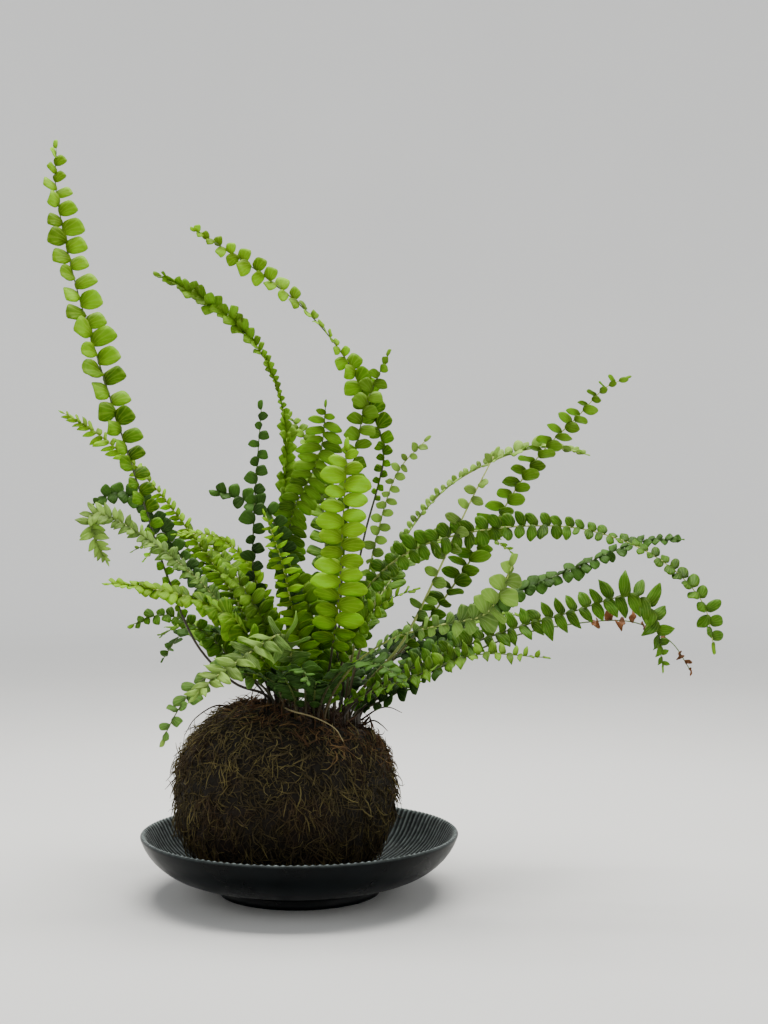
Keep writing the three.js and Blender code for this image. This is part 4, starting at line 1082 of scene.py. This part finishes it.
def frond_blades(name, frond, rib, others, draw):
    """All the leaflets of a frond, alternate left and right, as thin closed blades."""
    start = rib.stem_end + (rib.total - rib.stem_end) * frond["bare"]
    end = rib.total - BARE_TIP
    blades, places = [], []
    at, hand = start, 1
    while at < end:
        share = (at - start) / (end - start)
        size = grown(frond["growth"], share)
        scale = size * draw.uniform(*LEAFLET_SIZES)
        matrix = leaflet_matrix(rib, frond, at, hand, scale, share, draw)
        variant = draw.randrange(len(LEAFLETS[frond["leaf"]]))
        tint = draw.random()
        middle, tip = matrix @ Vector((0.5, 0.1, 0)), matrix @ Vector((1, 0.1, 0))
        crowded = any((middle - other).length < BLADE_CLEARANCE for other in others)
        dropped = draw.random() < frond["sparse"]
        if not (crowded or dropped or inside_ball(middle) or inside_ball(tip)):
            blades.append(tinted_blade(frond, variant, matrix, tint, at / rib.total * frond["young"]))
            places.append(middle)
        at += frond["pitch"] * MM * 0.5 * (0.6 + 0.4 * size) * draw.uniform(*PITCH_SIZES)
        hand = -hand
    blades.append(tinted_blade(frond, 0, tip_matrix(rib, frond), TIP_TINT, 1.0))
    whole = joined(blades, name + "_blades")
    applied(whole, "SOLIDIFY", thickness=BLADE_THICKNESS, offset=0, use_even_offset=False)
    dressed(whole, LEAF_MATERIALS[frond["tone"]])
    return whole, places


def frond_piece(name, habit, taken, draw):
    """The rib and the leaflets of one frond, kept clear of the leaflets already there."""
    frond = FROND_HABIT | habit
    rib = Rib(frond)
    blades, places = frond_blades(name, frond, rib, taken, draw)
    taken.extend(places)
    return joined([frond_rib(name, frond, rib), blades], name)


def build_fronds():
    draw = random.Random(41)
    taken = []
    for name, habit in FRONDS.items():
        piece = frond_piece(name.replace("frond", "fern"), habit, taken, draw)
        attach(piece, "root")
        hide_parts(name)
    return taken


def build_young_fronds(taken):
    """Short new fronds among the feet of the old ones, in two greens, the darker one a painted shade."""
    draw = random.Random(67)
    young = {"mid": [], "deep": []}
    for k in range(YOUNG_FRONDS):
        angle = 2 * math.pi * k / YOUNG_FRONDS + draw.gauss(0, 0.1)
        out = Vector((math.cos(angle), math.sin(angle), 0))
        foot = Vector((CROWN_X / MM, 0, 0)) + out * draw.uniform(*YOUNG_FOOT_RING)
        reach, rise = draw.uniform(*YOUNG_REACH), draw.uniform(*YOUNG_RISE)
        side = Vector((-out.y, out.x, 0)) * draw.gauss(0, 5)
        base = soil_top(foot.x * MM, foot.y * MM) / MM + 8
        through = [foot + out * reach * far + side * far**2
                   + Vector((0, 0, base + rise * (1.5 * far - 0.6 * far**2))) for far in YOUNG_SHARES]
        tone = draw.choice(["mid", "deep", "deep"])
        habit = dict(tone=tone, root=(foot.x, foot.y), through=[tuple(p) for p in through],
                     facing=[tuple(-out + Vector((0, 0, 0.6))), tuple(out * 0.2 + Vector((0, 0, 1)))],
                     leaf=draw.choice(["fan", "oval"]), size=(8.5, 7.5), pitch=6.2, bare=0.0, young=0.3,
                     growth=[(0, 0.7), (0.4, 1), (1, 0.6)])
        young[tone].append(frond_piece(f"young_{tone}_{k}", habit, taken, draw))
    for tone, pieces in young.items():
        piece = joined(pieces, "young_fronds_" + tone)
        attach(piece, "root")


build_young_fronds(build_fronds())
for kind_blades in LEAFLETS.values():
    for blade in kind_blades:
        bpy.data.objects.remove(blade)


# Moss

FELT_INSET = 1.6 * MM
FELT_ABOVE_DISH = 0.5 * MM
FELT_LUMP = 2.6 * MM
FELT_FURROWS = 23
FELT_FURROW_DEPTH = 0.9 * MM
SPRIG_KINDS = 10
SPRIG_SHOOTS = 6
SHOOT_STEPS = 4
SHOOT_SIDES = 3
SHOOT_SINK = 1.2 * MM
STOUT_SHARE = 0.08
STOUT_SCALE = 1.6
SPRIGS = 2900
SPRIG_SIZES = (0.7, 1.25)
SPRIG_STRAY = 0.018
SPRIG_LEAN = 0.12
SPRIG_CLEAR_OF_FLAT = 1.5 * MM
SPRIG_BELOW_Z = 45 * MM
COLLAR_WIDTH = 11 * MM
LOWER_BELT = -0.28
UPPER_BELT = 0.3
CURLY_SHARE = 0.8
HANGING_TURN = 0.4
CURLY_TURN = 1.3
DISH_CLEARANCE = 0.6 * MM
PRESSED_SHARE = 0.08

# Tufts. reach is the length of a shoot, spread how far apart the feet are, lift how much they
# stand up, fan how far they point apart and curl how much they turn on their way.
HANGING_TUFT = dict(shoots=SPRIG_SHOOTS, reach=10.5 * MM, thickness=0.34 * MM, spread=2 * MM, lift=0.5,
                    fan=0.4, curl=0.28)
CURLY_TUFT = dict(shoots=SPRIG_SHOOTS, reach=9 * MM, thickness=0.34 * MM, spread=2 * MM, lift=0.9,
                  fan=1.5, curl=0.42)
CROWN_TUFT = dict(shoots=9, reach=8 * MM, thickness=0.28 * MM, spread=4 * MM, lift=1.3, fan=2.0, curl=0.4)


def moss_felt():
    """The matted layer under the sprigs, lumpy, furrowed down its sides and open at the crown."""
    bpy.ops.mesh.primitive_ico_sphere_add(subdivisions=5, radius=1)
    felt = bpy.context.object
    felt.name = "moss_felt"
    for vertex in felt.data.vertices:
        way = vertex.co.normalized()
        angle = math.atan2(way.y, way.x) + 0.35 * noise.noise(way * 2.3)
        lump = noise.noise(way * 3.1) + 0.6 * noise.noise(way * 8.3) + 0.3 * noise.noise(way * 19)
        furrow = abs(math.sin(angle * FELT_FURROWS / 2)) ** 0.5 * math.hypot(way.x, way.y)
        lift = FELT_LUMP * lump * 0.5 + FELT_FURROW_DEPTH * (furrow - 1)
        place = BALL_CENTRE + way * (ball_reach(way, FELT_INSET) + lift)
        floor = dish_floor(place.x, place.y) + FELT_ABOVE_DISH
        vertex.co = (place.x, place.y, max(place.z, BALL_FLAT, floor))
    bpy.ops.object.mode_set(mode="EDIT")
    bpy.ops.mesh.select_all(action="DESELECT")
    bpy.ops.object.mode_set(mode="OBJECT")
    for face in felt.data.polygons:
        middle = face.center
        face.select = off_crown(middle.x, middle.y) < MOUTH_RADIUS and middle.z > BALL_CENTRE.z
    bpy.ops.object.mode_set(mode="EDIT")
    bpy.ops.mesh.delete(type="FACE")
    bpy.ops.object.mode_set(mode="OBJECT")
    applied(felt, "SOLIDIFY", thickness=MOSS_THICKNESS, offset=-1)
    set_values(felt.data, "tint", 0.35)
    set_values(felt.data, "tip", 0.2)
    dressed(felt, FELT)
    return felt


def wandering_line(draw, place, yaw, pitch, steps, step, curl, dip):
    """A line of points from a place, heading along -Y by yaw and up by pitch, and curling."""
    line = [place.copy()]
    turn = draw.gauss(0, curl * 0.6)
    for _ in range(steps):
        way = Vector((math.sin(yaw) * math.cos(pitch), -math.cos(yaw) * math.cos(pitch), math.sin(pitch)))
        place = place + way * step
        line.append(place.copy())
        yaw += turn + draw.gauss(0, curl)
        pitch -= dip * draw.uniform(0.5, 1.2)
    return line


def tuft(name, draw, shoots, reach, thickness, spread, lift, fan, curl):
    """A tuft of curling, tapering shoots round the origin, lying towards -Y with its outside up.
    Each point's tip value is its share of the shoot, and each shoot has a tint of its own."""
    lines, radii = [], []
    for _ in range(shoots):
        foot = Vector((draw.gauss(0, spread), draw.gauss(0, spread), -SHOOT_SINK))
        step = reach * draw.uniform(0.5, 1.3) / SHOOT_STEPS
        yaw, pitch, dip = draw.gauss(0, fan), draw.uniform(0.35, 0.9) * lift, draw.uniform(0.15, 0.5) * lift
        lines.append(wandering_line(draw, foot, yaw, pitch, SHOOT_STEPS, step, curl, dip))
        thick = thickness * draw.uniform(0.5, 1.1) * (STOUT_SCALE if draw.random() < STOUT_SHARE else 1)
        radii.append([thick * (1 - 0.7 * (i / SHOOT_STEPS) ** 2) for i in range(SHOOT_STEPS + 1)])
    made = tube(name, lines, SHOOT_SIDES, radii)
    ring_count = SHOOT_STEPS + 1
    tints = [draw.random() for _ in lines]
    count = len(made.data.vertices)
    set_values(made.data, "tip", [(i // SHOOT_SIDES % ring_count) / SHOOT_STEPS for i in range(count)])
    set_values(made.data, "tint", [tints[i // (SHOOT_SIDES * ring_count)] for i in range(count)])
    made.hide_render = True
    return made


def tufts(kind, count, draw, form):
    return [tuft(f"{kind}_{k}", draw, **form) for k in range(count)]


def spread_over_ball(count, draw):
    """Directions spread evenly over a ball, each a little off its place."""
    golden = math.pi * (3 - math.sqrt(5))
    for i in range(count):
        z = 1 - 2 * (i + 0.5) / count
        flat = math.sqrt(1 - z * z)
        way = Vector((flat * math.cos(golden * i), flat * math.sin(golden * i), z))
        yield (way + scattered(draw, SPRIG_STRAY)).normalized()


def laid_matrix(place, normal, turn, size):
    """Lays a sprig on the surface, down the ball or turned from that."""
    down = Vector((0, 0, -1)) - normal * -normal.z
    if down.length < 0.05:
        down = Vector((1, 0, 0))
    down = Matrix.Rotation(turn, 3, normal) @ down.normalized()
    return axes_matrix(normal.cross(down) * -size, down * -size, normal * size, place)


def keep_off_dish(mesh):
    """Presses what would go through the dish into a thin layer on it."""
    for vertex in mesh.vertices:
        x, y, z = vertex.co
        floor = dish_floor(x, y) + DISH_CLEARANCE
        if z < floor:
            vertex.co.z = floor + (floor - z) * PRESSED_SHARE


def belt_of(share, from_mouth, edge):
    """The belt of moss that a sprig belongs to."""
    if share > UPPER_BELT and from_mouth < COLLAR_WIDTH * edge:
        return "moss_collar"
    return "moss_lower" if share < LOWER_BELT else "moss_middle" if share < UPPER_BELT else "moss_upper"


def build_moss():
    draw = random.Random(17)
    felt = moss_felt()
    surface = bvhtree.BVHTree.FromObject(felt, bpy.context.evaluated_depsgraph_get())
    hanging = tufts("sprig_hanging", SPRIG_KINDS, draw, HANGING_TUFT)
    curly = tufts("sprig_curly", SPRIG_KINDS, draw, CURLY_TUFT)
    belts = {"moss_lower": [], "moss_middle": [], "moss_upper": [], "moss_collar": []}
    for way in spread_over_ball(SPRIGS, draw):
        hit, normal, _, _ = surface.ray_cast(BALL_CENTRE + way * BALL_RADIUS * 2, -way)
        turn, size, shade = draw.gauss(0, HANGING_TURN), draw.uniform(*SPRIG_SIZES), draw.gauss(0, 0.10)
        kind, upper, edge = draw.randrange(SPRIG_KINDS), draw.random(), draw.uniform(0.4, 1.0)
        if hit is None or hit.z < BALL_FLAT + SPRIG_CLEAR_OF_FLAT:
            continue
        from_mouth = off_crown(hit.x, hit.y) - MOUTH_RADIUS
        if from_mouth < -1 * MM and hit.z > BALL_CENTRE.z:
            continue
        share = (hit.z - BALL_CENTRE.z) / BALL_HALF_HEIGHT
        is_curly = upper < ease(share, -0.6, 0.6) * CURLY_SHARE
        if is_curly:
            turn = draw.gauss(0, CURLY_TURN)
        normal = (normal + scattered(draw, SPRIG_LEAN)).normalized()
        made = copy_of((curly if is_curly else hanging)[kind], laid_matrix(hit, normal, turn, size))
        # Each sprig's tint: paler and darker clumps of moss, a random offset for each sprig, and painted
        # light that makes the sprigs paler the higher they sit on the ball.
        clumps_and_painted_top_light = 0.33 + 0.66 * noise.noise(hit * 120) + 0.32 * noise.noise(hit * 380) + 0.18 * share + shade
        tints = [clamp(0.5 * t + clumps_and_painted_top_light * 0.75) for t in get_values(made.data, "tint")]
        set_values(made.data, "tint", tints)
        if hit.z < SPRIG_BELOW_Z:
            keep_off_dish(made.data)
        belts[belt_of(share, from_mouth, edge)].append(made)
    pieces = [felt]
    for name, sprigs in belts.items():
        piece = joined(sprigs, name)
        dressed(piece, RED_MOSS if name == "moss_collar" else MOSS)
        pieces.append(piece)
    for piece in pieces:
        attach(piece, "root")
        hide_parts("moss_wrap")
    for prototype in hanging + curly:
        bpy.data.objects.remove(prototype)


build_moss()


# The soil and what grows thinly over it

SOIL_GRAIN = 1.2 * MM
SOIL_CRUMBS = 150
CRUMB_SIZES = (0.5, 1.5)
CROWN_TUFTS = 80
CROWN_TUFT_SIZES = (0.7, 1.2)
CROWN_TUFT_LEAN = 34 * MM
STEM_STUBS = 26
STUB_HEIGHTS = (4, 11)
STUB_TIPS = (0.3, 0.65)
STUB_LEAN = 26 * MM
STUB_STEPS = 3
STUB_RADII = (0.9, 0.8, 0.7)
THREAD_STEPS = 6
RUNNER_RADIUS = 0.5 * MM
ROOT_RADIUS = 0.55 * MM


def build_soil():
    bpy.ops.mesh.primitive_uv_sphere_add(segments=96, ring_count=64, radius=1)
    soil = bpy.context.object
    for vertex in soil.data.vertices:
        way = vertex.co.normalized()
        place = BALL_CENTRE + way * ball_reach(way, SOIL_INSET)
        z = max(place.z, BALL_FLAT + MOSS_THICKNESS)
        if off_crown(place.x, place.y) < CROWN_RADIUS and place.z > BALL_CENTRE.z:
            z = soil_top(place.x, place.y) + SOIL_GRAIN * noise.noise(place * 260)
        vertex.co = (place.x, place.y, z)
    draw = random.Random(5)
    bpy.ops.mesh.primitive_ico_sphere_add(subdivisions=1, radius=1)
    crumb = bpy.context.object
    crumbs = []
    for _ in range(SOIL_CRUMBS):
        x, y = in_crown(draw, CROWN_RADIUS - 2 * MM)
        sizes = [draw.uniform(*CRUMB_SIZES) * MM for _ in range(3)]
        place = Matrix.Translation((x, y, soil_top(x, y) + 0.2 * MM))
        turn = Matrix.Rotation(draw.uniform(0, 3), 4, scattered(draw, 1))
        crumbs.append(copy_of(crumb, place @ turn @ Matrix.Diagonal((*sizes, 1))))
    bpy.data.objects.remove(crumb)
    soil = joined([soil, *crumbs], "potting_soil")
    dressed(soil, PEAT)
    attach(soil, "root")
    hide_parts("soil_ball")


def thread(name, points, thickness, material):
    """A single runner or root, as a thin tapering tube."""
    line = curve_points(points, THREAD_STEPS)
    radii = [thickness * (1 - 0.7 * i / (len(line) - 1)) for i in range(len(line))]
    piece = tube(name, [line], RIB_SIDES, [radii])
    count = len(piece.data.vertices)
    set_values(piece.data, "tint", 0.6)
    set_values(piece.data, "tip", [i / count for i in range(count)])
    dressed(piece, material)
    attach(piece, "root")


def build_threads():
    over_moss = [ball_front(x, z, lift) for x, z, lift in
                 ((-2, 90, 2.6), (8, 87, 3.4), (17, 83, 2.4), (22, 78, 0.5))]
    thread("runner_front", [Vector((-6, -20, 92)) * MM, *over_moss], RUNNER_RADIUS, RUNNER)
    roots = {
        "root_right_upper": [(30, -2, 84), (38, -4, 89.5), (44, -5, 90.5), (50, -6, 88)],
        "root_right_lower": [(31, -6, 82), (36, -8, 84.5), (40, -9, 82.5), (43, -9, 79.5)],
        "root_left": [(-30, -8, 90), (-40, -10, 92), (-50, -12, 86), (-55, -13, 78)],
    }
    for name, points in roots.items():
        thread(name, [Vector(p) * MM for p in points], ROOT_RADIUS, ROOT_FIBRE)


def build_crown():
    """Brown fibres and the stubs of old stems round the feet of the fronds."""
    draw = random.Random(23)
    fibres = tufts("tuft_crown", 3, draw, CROWN_TUFT)
    pieces = []
    for _ in range(CROWN_TUFTS):
        x, y = in_crown(draw, CROWN_RADIUS)
        lean = Vector((x - CROWN_X, y, CROWN_TUFT_LEAN)).normalized()
        turn, size = draw.uniform(0, 6.28), draw.uniform(*CROWN_TUFT_SIZES)
        matrix = laid_matrix(Vector((x, y, soil_top(x, y))), lean, turn, size)
        pieces.append(copy_of(draw.choice(fibres), matrix))
    stubs, stub_radii = [], []
    for _ in range(STEM_STUBS):
        foot = Vector((*in_crown(draw, CROWN_RADIUS - 4 * MM), 0))
        foot.z = soil_top(foot.x, foot.y) - 1 * MM
        lean = Vector((foot.x - CROWN_X, foot.y, STUB_LEAN)).normalized()
        height = draw.uniform(*STUB_HEIGHTS) * MM
        stubs.append([foot + lean * height * k / STUB_STEPS + Vector((0, 0, 0.5 * MM * draw.random()))
                      for k in range(STUB_STEPS + 1)])
        stub_radii.append([*(radius * MM for radius in STUB_RADII), draw.uniform(*STUB_TIPS) * MM])
    stub = tube("stubs", stubs, RIB_SIDES, stub_radii)
    set_values(stub.data, "tint", 0.45)
    set_values(stub.data, "tip", 0.3)
    crown = joined([stub, *pieces], "crown_fibres")
    dressed(crown, ROOT_FIBRE)
    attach(crown, "root")
    for prototype in fibres:
        bpy.data.objects.remove(prototype)


build_soil()
build_threads()
build_crown()


# The dish

def build_dish():
    """Spun from its half section, with the inner wall's fine ribs raised afterwards."""
    outline = curve_points([Vector((r, 0, z)) * MM for r, z in DISH_UNDERSIDE + DISH_INSIDE],
                           DISH_STEPS)
    dish = spun("ribbed_dish", outline, DISH_COLUMNS)
    bpy.ops.object.mode_set(mode="EDIT")
    bpy.ops.mesh.select_all(action="SELECT")
    bpy.ops.mesh.remove_doubles(threshold=MERGE_DISTANCE)
    bpy.ops.mesh.normals_make_consistent(inside=False)
    bpy.ops.object.mode_set(mode="OBJECT")

    lip_height = DISH_INSIDE[0][1] * MM
    outward = [vertex.normal.copy() for vertex in dish.data.vertices]
    crests = []
    for vertex, normal in zip(dish.data.vertices, outward):
        x, y, z = vertex.co
        radius, angle = math.hypot(x, y), math.atan2(y, x)
        inner = radius < RIB_OUTER_RADIUS and normal.z > 0.02 and z > RIB_LEAST_HEIGHT
        wave = 0.5 + 0.5 * math.cos(DISH_RIBS * angle)
        rise = wave * ease(radius, RIB_INNER_RADIUS, RIB_INNER_RADIUS + RIB_FADE) if inner else 0.0
        vertex.co = vertex.co + normal * RIB_HEIGHT * rise
        # The crest value marks the rib tops and the lip band for the glaze's paler break and its painted
        # highlight.
        lip = ease(z, lip_height - LIP_BAND, lip_height)
        crests.append(clamp((0.5 + 0.5 * lip) * rise**2 + 0.12 * lip))
    set_values(dish.data, "crest", crests)
    dressed(dish, GLAZE)
    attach(dish, "root")
    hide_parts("dish")


build_dish()


# Stage, light and camera

CAMERA_PLACE = Vector((41.2, -765, 185.7)) * MM
LENS_MM = 54.84
SENSOR_MM = 36.0
WALL_RADIUS = 2.2
WALL_HEIGHT = 1.9
SWEEP_RADIUS = 0.5
SWEEP_STEPS = 12
STAGE_SIDES = 96
LIT_POINT = Vector((0.03, 0.0, 0.15))
LIGHTS = {
    "light_above": dict(place=(0.05, 0.16, 1.0), size=(0.9, 0.5), power=24, color=(1.0, 0.98, 0.94)),
    "light_left": dict(place=(-1.1, -0.9, 0.9), size=(0.9, 0.9), power=4, color=(0.95, 0.98, 1.0)),
    "light_right": dict(place=(1.2, -0.7, 0.6), size=(0.9, 0.9), power=3, color=(0.97, 0.98, 1.0)),
}
ROOM_COLOR = (0.9, 0.94, 1.0, 1)
ROOM_STRENGTH = 0.3


def build_stage():
    """A pale round floor that sweeps up into a wall all round."""
    flat = WALL_RADIUS - SWEEP_RADIUS
    profile = [Vector((0, 0, 0)), Vector((flat, 0, 0))]
    for step in range(1, SWEEP_STEPS + 1):
        angle = math.pi / 2 * step / SWEEP_STEPS
        out, up = flat + SWEEP_RADIUS * math.sin(angle), SWEEP_RADIUS * (1 - math.cos(angle))
        profile.append(Vector((out, 0, up)))
    profile.append(Vector((WALL_RADIUS, 0, WALL_HEIGHT)))
    floor = spun("floor", profile, STAGE_SIDES)
    dressed(floor, PAPER)


def area_light(name, place, size, power, color):
    """A rectangular light, turned towards the plant."""
    light = bpy.data.lights.new(name, "AREA")
    light.shape = "RECTANGLE"
    light.size, light.size_y = size
    light.energy = power
    light.color = color
    lamp = placed(name, light)
    lamp.location = place
    lamp.rotation_euler = (LIT_POINT - Vector(place)).to_track_quat("-Z", "Y").to_euler()


def build_light_and_camera():
    for name, light in LIGHTS.items():
        area_light(name, **light)
    world = bpy.data.worlds.new("room")
    bpy.context.scene.world = world
    world.use_nodes = True
    background = world.node_tree.nodes["Background"]
    background.inputs["Color"].default_value = ROOM_COLOR
    background.inputs["Strength"].default_value = ROOM_STRENGTH

    camera = bpy.data.cameras.new("camera")
    camera.sensor_width = SENSOR_MM
    camera.lens = LENS_MM
    camera_object = placed("camera", camera)
    camera_object.location = CAMERA_PLACE
    camera_object.rotation_euler = (math.pi / 2, 0, 0)
    bpy.context.scene.camera = camera_object


build_stage()
build_light_and_camera()
